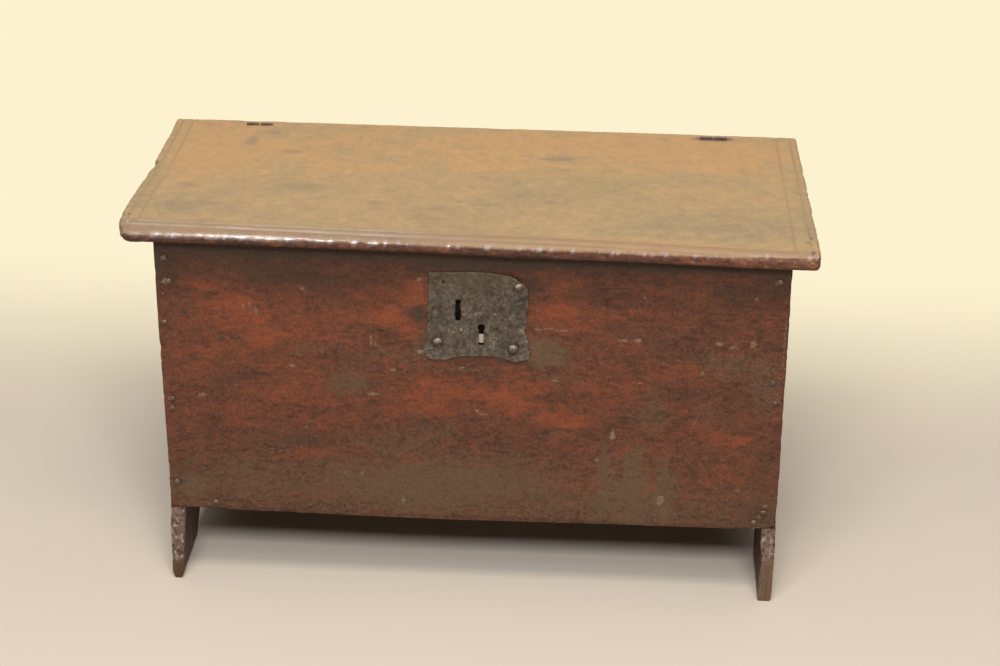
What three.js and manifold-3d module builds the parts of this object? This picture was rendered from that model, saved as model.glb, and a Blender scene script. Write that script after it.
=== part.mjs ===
// Boarded coffer chest: six oak boards nailed together, a lid on linked wire hinges, an iron plate lock.
// Millimetres, +Z up, +X to the right seen from the front, -Y to the front.
// The origin is on the floor, under the middle of the lid.

import * as THREE from 'three';
import { mergeVertices } from 'three/addons/utils/BufferGeometryUtils.js';
import Module from 'manifold-3d';

const wasm = await Module();
wasm.setup();

// Driving dimensions

const fit = {
  gap: 0.3,
  overrun: 6,
};

const lid = {
  length: 900,
  depth: 423,
  thick: 20,
  overhangLeft: 43.5,
  overhangRight: 30.5,
  overhangFront: 20,
  overhangBack: 24,
  topRound: 10,
  endRound: 6,
  bottomRound: 4,
  cornerRound: 14,
  backCornerRound: 4,
  grooveWidth: 2.6,
  grooveDepth: 1.3,
  frontGrooves: [18, 38],
  leftGrooves: [11, 25],
  rightGrooves: [11, 31],
  notchFromFront: 242,
  notchDepth: 4,
  notchShort: 5,
  notchLong: 34,
};

const body = {
  height: 514.7,
  footHeight: 117,
  frontThick: 20,
  backThick: 20,
  endThick: 20,
  bottomThick: 18,
  bottomRise: 1,
  trenchDepth: 6,
  footRecess: 3,
  archRadius: 70,
  taperHeight: 75,
  taperLeft: 8,
  taperRight: 1,
  wornCornerWidth: 22,
  wornCornerHeight: 7,
  hollowWidth: 43,
  hollowDepth: 4,
  hollowShift: -23,
};

const hinge = {
  insetLeft: 78.5,
  insetRight: 91.5,
  wireRadius: 1.8,
  eyeRadius: 5.5,
  legOffset: 1.95,
  neckRadius: 2.5,
  bendRadius: 2.5,
  lidStand: 0.85,
  backStand: 1.85,
  holeGap: 0.45,
  clinch: 17,
};

const boardNail = {
  headRadius: 4.6,
  headHeight: 2.6,
  rimHeight: 0.8,
  shankHalf: 1.7,
  tipHalf: 0.8,
  length: 46,
};

const plateNail = {
  headRadius: 5.4,
  headHeight: 3.4,
  rimHeight: 0.8,
  shankHalf: 1.5,
  tipHalf: 0.7,
  length: 19,
};

const plate = {
  width: 142,
  height: 128,
  thick: 2,
  drop: 30.7,
  shift: 6.5,
  slotWidth: 7.4,
  slotHeight: 31,
  slotShift: -25,
  slotRise: 9.4,
  keyShift: 5.5,
  keyRise: -14.8,
  keyRadius: 4.8,
  keySlit: 6.4,
  keyDrop: 26,
  nailHole: 2.6,
};

const bolt = {
  thick: 4,
  height: 8,
  rise: 13.7,
  peek: 1.2,
  travel: 10,
  tail: 12,
  talonWidth: 10,
  talonDepth: 3,
};

const staple = {
  strap: 2,
  width: 7,
  inset: 0.8,
  spacing: 40,
  leftSink: 2.4,
};

const rivet = {
  shankRadius: 1.6,
  headRadius: 3,
  headHeight: 1.5,
  tailRadius: 2.8,
  tailHeight: 1.2,
};

const spring = {
  thick: 1.2,
  width: 3.4,
  rise: 6,
  footDepth: 3,
  footInset: 4,
};

const ward = {
  stand: 3.2,
  thick: 1.4,
  innerRadius: 12,
  outerRadius: 24,
  startDegrees: 182,
  endDegrees: 335,
  rivetRadius: 27,
  rivetDegrees: 191,
  padHalf: 4,
};

const mortise = {
  depth: 12,
  margin: 3,
};

// Nail places, as shares of the end board's thickness from its outer face and of the board's height
const leftNailShares = [[0.45, 0.935], [0.7, 0.852], [0.3, 0.704], [0.56, 0.42], [0.5, 0.383], [0.58, 0.1]];
const rightNailShares = [[0.78, 0.923], [0.78, 0.558], [0.55, 0.484], [0.78, 0.066]];
const backNailShares = [[0.5, 0.92], [0.45, 0.66], [0.55, 0.37], [0.5, 0.12]];

// Bottom nail places, as shares of the body's width from its left side
const frontBottomShares = [0.077, 0.966];
const backBottomShares = [0.12, 0.5, 0.88];

// Lock plate outline and nails, as shares of its width and height from its middle
const plateTopShares = [[-0.453, 0.04], [-0.446, 0.48], [-0.07, 0.5], [0.12, 0.498], [0.324, 0.456], [0.426, 0.383]];
const plateRightShares = [[0.468, 0.318], [0.461, -0.041], [0.439, -0.143], [0.463, -0.211], [0.5, -0.39]];
const plateLowRightShares = [[0.486, -0.448], [0.401, -0.486], [0.366, -0.491]];
const plateArcShares = [[-0.021, -0.37], [-0.306, -0.495]];
const plateLeftShares = [[-0.408, -0.5], [-0.473, -0.456], [-0.5, -0.4], [-0.464, -0.262]];
const plateNailShares = [[-0.368, -0.291], [0.34, -0.346], [0.38, 0.348]];
const lostNailShares = [-0.313, 0.38];

// Places worked out from the driving dimensions

const bodyWidth = lid.length - lid.overhangLeft - lid.overhangRight;
const bodyDepth = lid.depth - lid.overhangFront - lid.overhangBack;
const bodyX = (lid.overhangLeft - lid.overhangRight) / 2;
const leftX = bodyX - bodyWidth / 2;
const rightX = bodyX + bodyWidth / 2;
const frontY = -lid.depth / 2 + lid.overhangFront;
const backY = frontY + bodyDepth;
const boardHeight = body.height - body.footHeight;
const lidUnder = body.height + fit.gap;
const lidTop = lidUnder + lid.thick;
const bottomLow = body.footHeight + body.bottomRise;
const bottomTop = bottomLow + body.bottomThick;

const neckReach = Math.sqrt((hinge.eyeRadius + hinge.neckRadius) ** 2 - (hinge.legOffset + hinge.neckRadius) ** 2);
const neckAngle = Math.asin((hinge.legOffset + hinge.neckRadius) / (hinge.eyeRadius + hinge.neckRadius));
const pivotY = backY + neckReach + hinge.backStand;
const pivotZ = lidUnder - hinge.eyeRadius - neckReach - hinge.lidStand;
const hingeHole = hinge.legOffset + hinge.wireRadius + hinge.holeGap;
const hingeXs = { left: leftX + hinge.insetLeft, right: rightX - hinge.insetRight };

const plateX = bodyX + plate.shift;
const plateZ = body.height - plate.drop - plate.height / 2;
const plateBack = frontY - fit.gap;
const slotX = plateX + plate.slotShift;
const slotZ = plateZ + plate.slotRise;
const keyX = plateX + plate.keyShift;
const keyZ = plateZ + plate.keyRise;
const boltZ = plateZ + bolt.rise;
const boltLow = boltZ - bolt.height / 2;
const boltTop = boltZ + bolt.height / 2;
const boltTip = slotX + plate.slotWidth / 2 - bolt.peek;
const stapleX = slotX + plate.slotWidth / 2 + staple.inset + staple.width / 2;
const stapleXs = { left: stapleX, right: stapleX + staple.spacing };
const boltEnd = stapleXs.right + staple.width / 2 + bolt.tail;
const rivetZ = boltLow - fit.gap - staple.strap - fit.gap - rivet.tailRadius;
const rivetZs = { left: rivetZ - staple.leftSink, right: rivetZ };
const springFootX = stapleXs.right - staple.width / 2 - spring.footInset;
const springTipX = stapleXs.left + staple.width / 2 + bolt.travel + fit.gap;

// Solids and placing

const alongX = new THREE.Vector3(1, 0, 0);
const alongY = new THREE.Vector3(0, 1, 0);
const alongZ = new THREE.Vector3(0, 0, 1);

// How an outline's two directions and its thickness lie in the chest
const planes = {
  plan: new THREE.Matrix4().makeBasis(alongX, alongY, alongZ),
  side: new THREE.Matrix4().makeBasis(alongY, alongZ, alongX),
  front: new THREE.Matrix4().makeBasis(alongX, alongZ, alongY.clone().negate()),
};

function solidOf(geometry) {
  geometry.deleteAttribute('uv');
  geometry.deleteAttribute('normal');
  const merged = mergeVertices(geometry);
  const vertProperties = new Float32Array(merged.attributes.position.array);
  const triVerts = new Uint32Array(merged.index.array);
  return new wasm.Manifold(new wasm.Mesh({ numProp: 3, vertProperties, triVerts }));
}

function geometryOf(solid) {
  const mesh = solid.getMesh();
  const geometry = new THREE.BufferGeometry();
  geometry.setAttribute('position', new THREE.BufferAttribute(new Float32Array(mesh.vertProperties), 3));
  geometry.setIndex(new THREE.BufferAttribute(new Uint32Array(mesh.triVerts), 1));
  geometry.computeVertexNormals();
  return geometry;
}

function cutAll(solid, cuts) {
  return cuts.reduce((left, cut) => left.subtract(cut), solid);
}

function shapeOf(points) {
  return new THREE.Shape(points.map(([x, y]) => new THREE.Vector2(x, y)));
}

// A board cut to an outline; its thickness runs from start along the plane's own direction
function slab(shape, plane, start, thick, curveSegments) {
  const geometry = new THREE.ExtrudeGeometry(shape, { depth: thick, bevelEnabled: false, curveSegments });
  geometry.applyMatrix4(planes[plane]);
  geometry.translate(...start);
  return solidOf(geometry);
}

function box([x0, x1], [y0, y1], [z0, z1]) {
  const geometry = new THREE.BoxGeometry(x1 - x0, y1 - y0, z1 - z0);
  geometry.translate((x0 + x1) / 2, (y0 + y1) / 2, (z0 + z1) / 2);
  return solidOf(geometry);
}

function bore(radius, length, middle, direction) {
  const geometry = new THREE.CylinderGeometry(radius, radius, length, 20);
  const turn = new THREE.Quaternion().setFromUnitVectors(alongY, direction);
  geometry.applyQuaternion(turn);
  geometry.translate(...middle);
  return solidOf(geometry);
}

// Nails and rivets

// Things driven in from the front have their head at -Y, those from the back at +Y
const facings = {
  front: Math.PI / 2,
  back: -Math.PI / 2,
};

function driveIn(geometry, facing, place) {
  geometry.rotateX(facings[facing]);
  geometry.translate(...place);
  return solidOf(geometry);
}

function shank(size, grow, above) {
  const length = size.length + grow + above;
  const sides = 4;
  const toCorner = Math.SQRT2;
  const spread = (size.shankHalf - size.tipHalf) * above / size.length;
  const geometry = new THREE.CylinderGeometry(
    (size.shankHalf + spread + grow) * toCorner,
    (size.tipHalf + grow) * toCorner,
    length, sides, 1, false, Math.PI / sides,
  );
  geometry.rotateX(Math.PI / 2);
  geometry.translate(0, 0, above - length / 2);
  return geometry;
}

function head(size, segments) {
  const profile = [
    new THREE.Vector2(0, fit.gap),
    new THREE.Vector2(size.headRadius, fit.gap),
    new THREE.Vector2(size.headRadius, fit.gap + size.rimHeight),
    new THREE.Vector2(size.headRadius * Math.SQRT1_2, fit.gap + size.headHeight * Math.SQRT1_2 + size.rimHeight / 2),
    new THREE.Vector2(0, fit.gap + size.headHeight + size.rimHeight / 2),
  ];
  const geometry = new THREE.LatheGeometry(profile, segments);
  geometry.rotateX(Math.PI / 2);
  return geometry;
}

function nail(size, facing, place) {
  const segments = 8;
  const shaft = driveIn(shank(size, 0, fit.gap + size.rimHeight / 2), facing, place);
  return shaft.add(driveIn(head(size, segments), facing, place));
}

function nailHole(size, facing, place) {
  return driveIn(shank(size, fit.gap, fit.overrun), facing, place);
}

const boardRow = (share) => body.footHeight + boardHeight * share;
const bottomNailZ = bottomLow + body.bottomThick / 2;

const frontNails = [
  ...leftNailShares.map(([inset, up]) => [leftX + body.endThick * inset, frontY, boardRow(up)]),
  ...rightNailShares.map(([inset, up]) => [rightX - body.endThick * inset, frontY, boardRow(up)]),
  ...frontBottomShares.map((along) => [leftX + bodyWidth * along, frontY, bottomNailZ]),
];

const backNails = [
  ...backNailShares.map(([inset, up]) => [leftX + body.endThick * inset, backY, boardRow(up)]),
  ...backNailShares.map(([inset, up]) => [rightX - body.endThick * inset, backY, boardRow(up)]),
  ...backBottomShares.map((along) => [leftX + bodyWidth * along, backY, bottomNailZ]),
];

const onPlate = ([across, up]) => [plateX + plate.width * across, plateZ + plate.height * up];

const plateNails = plateNailShares.map((shares) => {
  const [x, z] = onPlate(shares);
  return [x, plateBack - plate.thick, z];
});

const frontHoles = frontNails.map((place) => nailHole(boardNail, 'front', place));
const backHoles = backNails.map((place) => nailHole(boardNail, 'back', place));

// A rivet through the plate and what lies behind it: a domed head in front, a flat tail behind
function lockRivet(x, z, gripEnd) {
  const front = plate.thick + fit.gap;
  const profile = [
    [0, front + rivet.headHeight],
    [rivet.headRadius * Math.SQRT1_2, front + rivet.headHeight * Math.SQRT1_2],
    [rivet.headRadius, front],
    [rivet.shankRadius, front],
    [rivet.shankRadius, -gripEnd - fit.gap],
    [rivet.tailRadius, -gripEnd - fit.gap],
    [rivet.tailRadius, -gripEnd - fit.gap - rivet.tailHeight],
    [0, -gripEnd - fit.gap - rivet.tailHeight],
  ];
  const sides = 12;
  const geometry = new THREE.LatheGeometry(profile.reverse().map(([r, y]) => new THREE.Vector2(r, y)), sides);
  geometry.rotateX(Math.PI / 2);
  return driveIn(geometry, 'front', [x, plateBack, z]);
}

function rivetHole(x, z) {
  const length = plate.thick + ward.stand + ward.thick + fit.overrun;
  return bore(rivet.shankRadius + fit.gap, 2 * length, [x, plateBack, z], alongY);
}

// Boards

// A board's end view between two edges, each rounded over at the top and eased at the bottom
function moulded([left, leftRound], [right, rightRound]) {
  const ease = lid.bottomRound;
  const shape = new THREE.Shape();
  shape.moveTo(left + ease, lidUnder);
  shape.lineTo(right - ease, lidUnder);
  shape.absarc(right - ease, lidUnder + ease, ease, -Math.PI / 2, 0, false);
  shape.lineTo(right, lidTop - rightRound);
  shape.absarc(right - rightRound, lidTop - rightRound, rightRound, 0, Math.PI / 2, false);
  shape.lineTo(left + leftRound, lidTop);
  shape.absarc(left + leftRound, lidTop - leftRound, leftRound, Math.PI / 2, Math.PI, false);
  shape.lineTo(left, lidUnder + ease);
  shape.absarc(left + ease, lidUnder + ease, ease, Math.PI, 1.5 * Math.PI, false);
  return shape;
}

function lidPlan() {
  const half = lid.length / 2;
  const front = -lid.depth / 2;
  const back = lid.depth / 2;
  const r = lid.cornerRound;
  const b = lid.backCornerRound;
  const shape = new THREE.Shape();
  shape.moveTo(-half, back - b);
  shape.lineTo(-half, front + r);
  shape.absarc(-half + r, front + r, r, Math.PI, 1.5 * Math.PI, false);
  shape.lineTo(half - r, front);
  shape.absarc(half - r, front + r, r, 1.5 * Math.PI, 2 * Math.PI, false);
  shape.lineTo(half, back - b);
  shape.absarc(half - b, back - b, b, 0, Math.PI / 2, false);
  shape.lineTo(-half + b, back);
  shape.absarc(-half + b, back - b, b, Math.PI / 2, Math.PI, false);
  return shape;
}

function lidGrooves() {
  const notch = (at) => shapeOf([
    [at, lidTop - lid.grooveDepth],
    [at + lid.grooveWidth, lidTop + lid.grooveDepth],
    [at - lid.grooveWidth, lidTop + lid.grooveDepth],
  ]);
  const front = -lid.depth / 2;
  const back = lid.depth / 2 + fit.overrun;
  return lid.frontGrooves.flatMap((fromFront, i) => {
    const left = -lid.length / 2 + lid.leftGrooves[i];
    const right = lid.length / 2 - lid.rightGrooves[i];
    return [
      slab(notch(front + fromFront), 'side', [left, 0, 0], right - left),
      slab(notch(left), 'front', [0, back, 0], back - front - fromFront),
      slab(notch(right), 'front', [0, back, 0], back - front - fromFront),
    ];
  });
}

function lidBoard() {
  const half = lid.length / 2;
  const back = lid.depth / 2;
  const past = lid.topRound + fit.overrun;
  const board = slab(moulded([-back, lid.topRound], [back + past, lid.topRound]), 'side', [-half, 0, 0], lid.length, 5)
    .intersect(slab(moulded([-half, lid.endRound], [half, lid.endRound]), 'front', [0, back, 0], lid.depth, 4))
    .intersect(slab(lidPlan(), 'plan', [0, 0, lidUnder - fit.overrun], lid.thick + 2 * fit.overrun, 5));
  const notchY = -back + lid.notchFromFront;
  const chip = slab(shapeOf([
    [-half - fit.overrun, notchY + lid.notchShort],
    [-half - fit.overrun, notchY - lid.notchLong],
    [-half, notchY - lid.notchLong],
    [-half + lid.notchDepth, notchY],
    [-half, notchY + lid.notchShort],
  ]), 'plan', [0, 0, lidUnder - fit.overrun], lid.thick + 2 * fit.overrun);
  const pinHoles = Object.values(hingeXs).map((x) => (
    bore(hingeHole, lid.thick + 2 * fit.overrun, [x, pivotY, lidUnder + lid.thick / 2], alongZ)
  ));
  return cutAll(board, [chip, ...lidGrooves(), ...pinHoles]);
}

function frontOutline() {
  const low = body.footHeight;
  const top = body.height;
  const hollowX = bodyX + body.hollowShift;
  const hollowHalf = body.hollowWidth / 2;
  const shape = new THREE.Shape();
  shape.moveTo(leftX, low);
  shape.lineTo(rightX - body.wornCornerWidth, low);
  shape.quadraticCurveTo(rightX, low, rightX, low + body.wornCornerHeight);
  shape.lineTo(rightX, top);
  shape.lineTo(hollowX + hollowHalf, top);
  shape.quadraticCurveTo(hollowX, top - 2 * body.hollowDepth, hollowX - hollowHalf, top);
  shape.lineTo(leftX, top);
  return shape;
}

function lockMortise() {
  const left = slotX - plate.slotWidth / 2 - bolt.travel + bolt.peek - mortise.margin;
  const right = boltEnd + mortise.margin;
  const slotTop = slotZ + plate.slotHeight / 2;
  const top = Math.max(slotTop, boltTop + spring.rise + spring.thick) + mortise.margin;
  const low = keyZ - Math.max(plate.keyDrop, ward.outerRadius, ward.padHalf) - mortise.margin;
  return box([left, right], [frontY - fit.overrun, frontY + mortise.depth], [low, top]);
}

function frontBoard() {
  const board = slab(frontOutline(), 'front', [0, frontY + body.frontThick, 0], body.frontThick, 8);
  const holes = plateNails.map((place) => nailHole(plateNail, 'front', place));
  return cutAll(board, [lockMortise(), ...holes, ...frontHoles]);
}

function backBoard() {
  const outline = shapeOf([
    [leftX, body.footHeight], [rightX, body.footHeight], [rightX, body.height], [leftX, body.height],
  ]);
  const board = slab(outline, 'front', [0, backY, 0], body.backThick);
  const pinHoles = Object.values(hingeXs).map((x) => (
    bore(hingeHole, body.backThick + 2 * fit.overrun, [x, backY - body.backThick / 2, pivotZ], alongY)
  ));
  return cutAll(board, [...pinHoles, ...backHoles]);
}

// The end board's side view: notched for the front and back boards, with an arch between its feet
function endOutline() {
  const footFront = frontY + body.footRecess;
  const footBack = backY - body.footRecess;
  const front = frontY + body.frontThick + fit.gap;
  const back = backY - body.backThick - fit.gap;
  const shoulder = body.footHeight - fit.gap;
  const middle = (frontY + backY) / 2;
  const shape = new THREE.Shape();
  shape.moveTo(footFront, 0);
  shape.lineTo(middle - body.archRadius, 0);
  shape.absarc(middle, 0, body.archRadius, Math.PI, 0, true);
  shape.lineTo(footBack, 0);
  shape.lineTo(footBack, shoulder);
  shape.lineTo(back, shoulder);
  shape.lineTo(back, body.height);
  shape.lineTo(front, body.height);
  shape.lineTo(front, shoulder);
  shape.lineTo(footFront, shoulder);
  return shape;
}

// inward is +1 for the left board and -1 for the right one
function endBoard(outerX, inward, taper) {
  const board = slab(endOutline(), 'side', [Math.min(outerX, outerX + inward * body.endThick), 0, 0], body.endThick, 9);
  const innerX = outerX + inward * body.endThick;
  const trenchX = innerX - inward * (body.trenchDepth + fit.gap);
  const openX = innerX + inward * fit.overrun;
  const trench = box(
    [Math.min(trenchX, openX), Math.max(trenchX, openX)],
    [frontY, backY],
    [bottomLow - fit.gap, bottomTop + fit.gap],
  );
  const worn = slab(shapeOf([
    [innerX, body.taperHeight],
    [innerX - inward * taper, 0],
    [innerX - inward * taper, -fit.overrun],
    [openX, -fit.overrun],
    [openX, body.taperHeight],
  ]), 'front', [0, backY, 0], bodyDepth);
  return cutAll(board, [trench, worn, ...frontHoles, ...backHoles]);
}

function bottomBoard() {
  const reach = body.endThick - body.trenchDepth;
  const board = box(
    [leftX + reach, rightX - reach],
    [frontY + body.frontThick + fit.gap, backY - body.backThick - fit.gap],
    [bottomLow, bottomTop],
  );
  return cutAll(board, [...frontHoles, ...backHoles]);
}

// Hinge pins

// A bent wire through a list of points, with its section square to the bend at each of them
class WirePath extends THREE.Curve {
  constructor(points) {
    super();
    this.points = points;
  }

  getPointAt(share, target = new THREE.Vector3()) {
    return target.copy(this.points[Math.round(share * (this.points.length - 1))]);
  }

  getTangentAt(share, target = new THREE.Vector3()) {
    const i = Math.round(share * (this.points.length - 1));
    const here = this.points[i];
    const into = here.clone().sub(this.points[Math.max(i - 1, 0)]).normalize();
    const out = this.points[Math.min(i + 1, this.points.length - 1)].clone().sub(here).normalize();
    return target.copy(into).add(out).normalize();
  }
}

function arcPoints(u, v, radius, fromAngle, toAngle, steps) {
  return Array.from({ length: steps + 1 }, (_, i) => {
    const angle = fromAngle + (toAngle - fromAngle) * i / steps;
    return new THREE.Vector3(u + radius * Math.cos(angle), v + radius * Math.sin(angle), 0);
  });
}

// One leg, from its clinched end to where the eye begins: u runs out along the pin, v across it,
// and the clinch goes sideways along v, or along w when crossed is true
function legPoints(side, length, crossed) {
  const offset = side * hinge.legOffset;
  const bendStart = length - hinge.bendRadius;
  const bend = arcPoints(0, 0, hinge.bendRadius, Math.PI / 2, 0, 4).map((point) => {
    const out = side * (hinge.bendRadius - point.x);
    const along = bendStart + point.y;
    return crossed ? new THREE.Vector3(along, offset, out) : new THREE.Vector3(along, offset + out, 0);
  });
  const tip = bend[0].clone();
  if (crossed) tip.z += side * (hinge.clinch - hinge.bendRadius);
  else tip.y += side * (hinge.clinch - hinge.bendRadius);
  const neckV = side * (hinge.legOffset + hinge.neckRadius);
  const neck = arcPoints(neckReach, neckV, hinge.neckRadius, -side * Math.PI / 2, -side * (Math.PI - neckAngle), 3);
  return [tip, ...bend, ...neck];
}

function wirePin(length, crossed) {
  const eye = arcPoints(0, 0, hinge.eyeRadius, neckAngle, 2 * Math.PI - neckAngle, 16);
  const points = [
    ...legPoints(1, length, crossed),
    ...eye.slice(1, -1),
    ...legPoints(-1, length, crossed).reverse(),
  ];
  const section = new THREE.Shape();
  section.absarc(0, 0, hinge.wireRadius, 0, 2 * Math.PI, false);
  return new THREE.ExtrudeGeometry(section, {
    steps: points.length - 1,
    extrudePath: new WirePath(points),
    curveSegments: 4,
  });
}

// The upper pin's eye hangs across the chest, and its legs go up through the lid
function upperPin(x) {
  const length = lidTop + fit.gap + hinge.wireRadius - pivotZ - hinge.eyeRadius;
  const geometry = wirePin(length, false);
  geometry.applyMatrix4(new THREE.Matrix4().makeBasis(alongZ, alongX, alongY));
  geometry.translate(x, pivotY, pivotZ + hinge.eyeRadius);
  return solidOf(geometry);
}

// The lower pin's eye stands front to back through it, and its legs go in through the back board
function lowerPin(x) {
  const length = pivotY - backY + body.backThick + fit.gap + hinge.wireRadius;
  const geometry = wirePin(length, true);
  geometry.applyMatrix4(new THREE.Matrix4().makeBasis(
    alongY.clone().negate(), alongZ, alongX.clone().negate(),
  ));
  geometry.translate(x, pivotY, pivotZ);
  return solidOf(geometry);
}

// Lock

function keyhole() {
  const half = plate.keySlit / 2;
  const low = keyZ - plate.keyDrop;
  const meet = Math.asin(half / plate.keyRadius);
  const shape = new THREE.Shape();
  shape.moveTo(keyX - half, low);
  shape.lineTo(keyX - half, keyZ - plate.keyRadius * Math.cos(meet));
  shape.absarc(keyX, keyZ, plate.keyRadius, 1.5 * Math.PI - meet, -0.5 * Math.PI + meet, true);
  shape.lineTo(keyX + half, low);
  return shape;
}

function haspSlot() {
  const half = plate.slotWidth / 2;
  const reach = plate.slotHeight / 2 - half;
  const shape = new THREE.Shape();
  shape.absarc(slotX, slotZ + reach, half, 0, Math.PI, false);
  shape.absarc(slotX, slotZ - reach, half, Math.PI, 2 * Math.PI, false);
  return shape;
}

function wardRivetPlace() {
  const angle = THREE.MathUtils.degToRad(ward.rivetDegrees);
  return [keyX + ward.rivetRadius * Math.cos(angle), keyZ + ward.rivetRadius * Math.sin(angle)];
}

const lockRivetPlaces = [[stapleXs.left, rivetZs.left], [stapleXs.right, rivetZs.right], wardRivetPlace()];

function plateOutline() {
  const shape = new THREE.Shape();
  plateTopShares.forEach((shares, i) => {
    if (i === 0) shape.moveTo(...onPlate(shares));
    else shape.lineTo(...onPlate(shares));
  });
  [...plateRightShares, ...plateLowRightShares].forEach((shares) => shape.lineTo(...onPlate(shares)));
  shape.quadraticCurveTo(...onPlate(plateArcShares[0]), ...onPlate(plateArcShares[1]));
  plateLeftShares.forEach((shares) => shape.lineTo(...onPlate(shares)));
  return shape;
}

function lockPlate() {
  const start = [0, plateBack + fit.overrun, 0];
  const through = plate.thick + 2 * fit.overrun;
  const nailHoles = [...plateNailShares, lostNailShares].map((shares) => {
    const [x, z] = onPlate(shares);
    return bore(plate.nailHole, through, [x, plateBack, z], alongY);
  });
  return cutAll(slab(plateOutline(), 'front', [0, plateBack, 0], plate.thick, 6), [
    slab(haspSlot(), 'front', start, through, 6),
    slab(keyhole(), 'front', start, through, 6),
    ...nailHoles,
    ...lockRivetPlaces.map(([x, z]) => rivetHole(x, z)),
  ]);
}

function lockBolt() {
  const front = plateBack + fit.gap;
  const talonX = keyX + bolt.talonWidth / 2;
  const bar = slab(shapeOf([
    [boltTip, boltLow],
    [talonX - bolt.talonWidth / 2, boltLow],
    [talonX - bolt.talonWidth / 2 + bolt.talonDepth / 2, boltLow + bolt.talonDepth],
    [talonX + bolt.talonWidth / 2 - bolt.talonDepth / 2, boltLow + bolt.talonDepth],
    [talonX + bolt.talonWidth / 2, boltLow],
    [boltEnd, boltLow],
    [boltEnd, boltTop],
    [boltTip, boltTop],
  ]), 'front', [0, front + bolt.thick, 0], bolt.thick);
  const slotHalf = spring.thick / 2 + fit.gap;
  return bar.subtract(box(
    [springFootX - slotHalf, springFootX + slotHalf],
    [front - fit.overrun, front + bolt.thick + fit.overrun],
    [boltTop - spring.footDepth - fit.gap, boltTop + fit.overrun],
  ));
}

// A bowed leaf whose turned-down foot is wedged in the bolt, so that it slides with it
function boltSpring() {
  const footLow = boltTop - spring.footDepth;
  const seat = boltTop + fit.gap;
  const right = springFootX + spring.thick / 2;
  const left = springFootX - spring.thick / 2;
  const shape = new THREE.Shape();
  shape.moveTo(left, footLow);
  shape.lineTo(right, footLow);
  shape.lineTo(right, seat + spring.thick);
  shape.quadraticCurveTo(
    (springTipX + left) / 2, seat + spring.rise / 2 + spring.thick, springTipX, seat + spring.rise,
  );
  shape.lineTo(springTipX, seat + spring.rise - spring.thick);
  shape.quadraticCurveTo((springTipX + left) / 2, seat + spring.rise / 2 - spring.thick, left, seat);
  const middle = plateBack + fit.gap + bolt.thick / 2;
  return slab(shape, 'front', [0, middle + spring.width / 2, 0], spring.width, 5);
}

// A strap over the bolt, with one foot on the plate below it and a turned-in end above it
function boltStaple(x, footZ) {
  const near = plateBack + fit.gap;
  const over = near + bolt.thick + fit.gap;
  const low = boltLow - fit.gap;
  const top = boltTop + fit.gap;
  const shape = shapeOf([
    [near, footZ - staple.width / 2],
    [near + staple.strap, footZ - staple.width / 2],
    [near + staple.strap, low - staple.strap],
    [over + staple.strap, low - staple.strap],
    [over + staple.strap, top + staple.strap],
    [near, top + staple.strap],
    [near, top],
    [over, top],
    [over, low],
    [near, low],
  ]);
  const strap = slab(shape, 'side', [x - staple.width / 2, 0, 0], staple.width);
  return strap.subtract(rivetHole(x, footZ));
}

function keyWard() {
  const near = plateBack + ward.stand;
  const from = THREE.MathUtils.degToRad(ward.startDegrees);
  const to = THREE.MathUtils.degToRad(ward.endDegrees);
  const shape = new THREE.Shape();
  shape.absarc(keyX, keyZ, ward.outerRadius, from, to, false);
  shape.absarc(keyX, keyZ, ward.innerRadius, to, from, true);
  const plateWard = slab(shape, 'front', [0, near + ward.thick, 0], ward.thick, 10);
  const [x, z] = wardRivetPlace();
  const pad = box(
    [x - ward.padHalf, x + ward.padHalf],
    [plateBack + fit.gap, near + ward.thick],
    [z - ward.padHalf, z + ward.padHalf],
  );
  return plateWard.add(pad).subtract(rivetHole(x, z));
}

// Finishes

const lidOak = { color: 0x8a6a45, roughness: 0.55, metalness: 0 };
const chestOak = { color: 0x4a2a1c, roughness: 0.6, metalness: 0 };
const bareOak = { color: 0x6b5238, roughness: 0.8, metalness: 0 };
const oldIron = { color: 0x3d3832, roughness: 0.7, metalness: 0.6 };

const chest = new THREE.Group();

function add(name, solid, finish) {
  const mesh = new THREE.Mesh(geometryOf(solid), new THREE.MeshStandardMaterial({ ...finish, flatShading: true }));
  mesh.name = name;
  chest.add(mesh);
}

add('lid_board', lidBoard(), lidOak);
add('front_board', frontBoard(), chestOak);
add('back_board', backBoard(), chestOak);
add('left_end_board', endBoard(leftX, 1, body.taperLeft), chestOak);
add('right_end_board', endBoard(rightX, -1, body.taperRight), chestOak);
add('bottom_board', bottomBoard(), bareOak);

Object.entries(hingeXs).forEach(([side, x]) => {
  add(`${side}_upper_hinge_pin`, upperPin(x), oldIron);
  add(`${side}_lower_hinge_pin`, lowerPin(x), oldIron);
});

add('lock_plate', lockPlate(), oldIron);
add('lock_bolt', lockBolt(), oldIron);
add('bolt_spring', boltSpring(), oldIron);
Object.entries(stapleXs).forEach(([side, x]) => {
  add(`${side}_bolt_staple`, boltStaple(x, rivetZs[side]), oldIron);
  add(`${side}_staple_rivet`, lockRivet(x, rivetZs[side], fit.gap + staple.strap), oldIron);
});
add('key_ward', keyWard(), oldIron);
add('ward_rivet', lockRivet(...wardRivetPlace(), ward.stand + ward.thick), oldIron);

plateNails.forEach((place, i) => add(`plate_nail_${i + 1}`, nail(plateNail, 'front', place), oldIron));
frontNails.forEach((place, i) => add(`front_nail_${i + 1}`, nail(boardNail, 'front', place), oldIron));
backNails.forEach((place, i) => add(`back_nail_${i + 1}`, nail(boardNail, 'back', place), oldIron));

export default chest;
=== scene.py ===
"""Looks for a boarded oak coffer chest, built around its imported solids.

Sizes are in millimetres in the chest's own frame (+X to the right seen from the front,
-Y to the front, +Z up), and become metres only where a mesh or a shader is made.
"""

import itertools
import logging
import math
from collections.abc import Callable, Sequence
from dataclasses import dataclass, field
from enum import Enum

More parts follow.
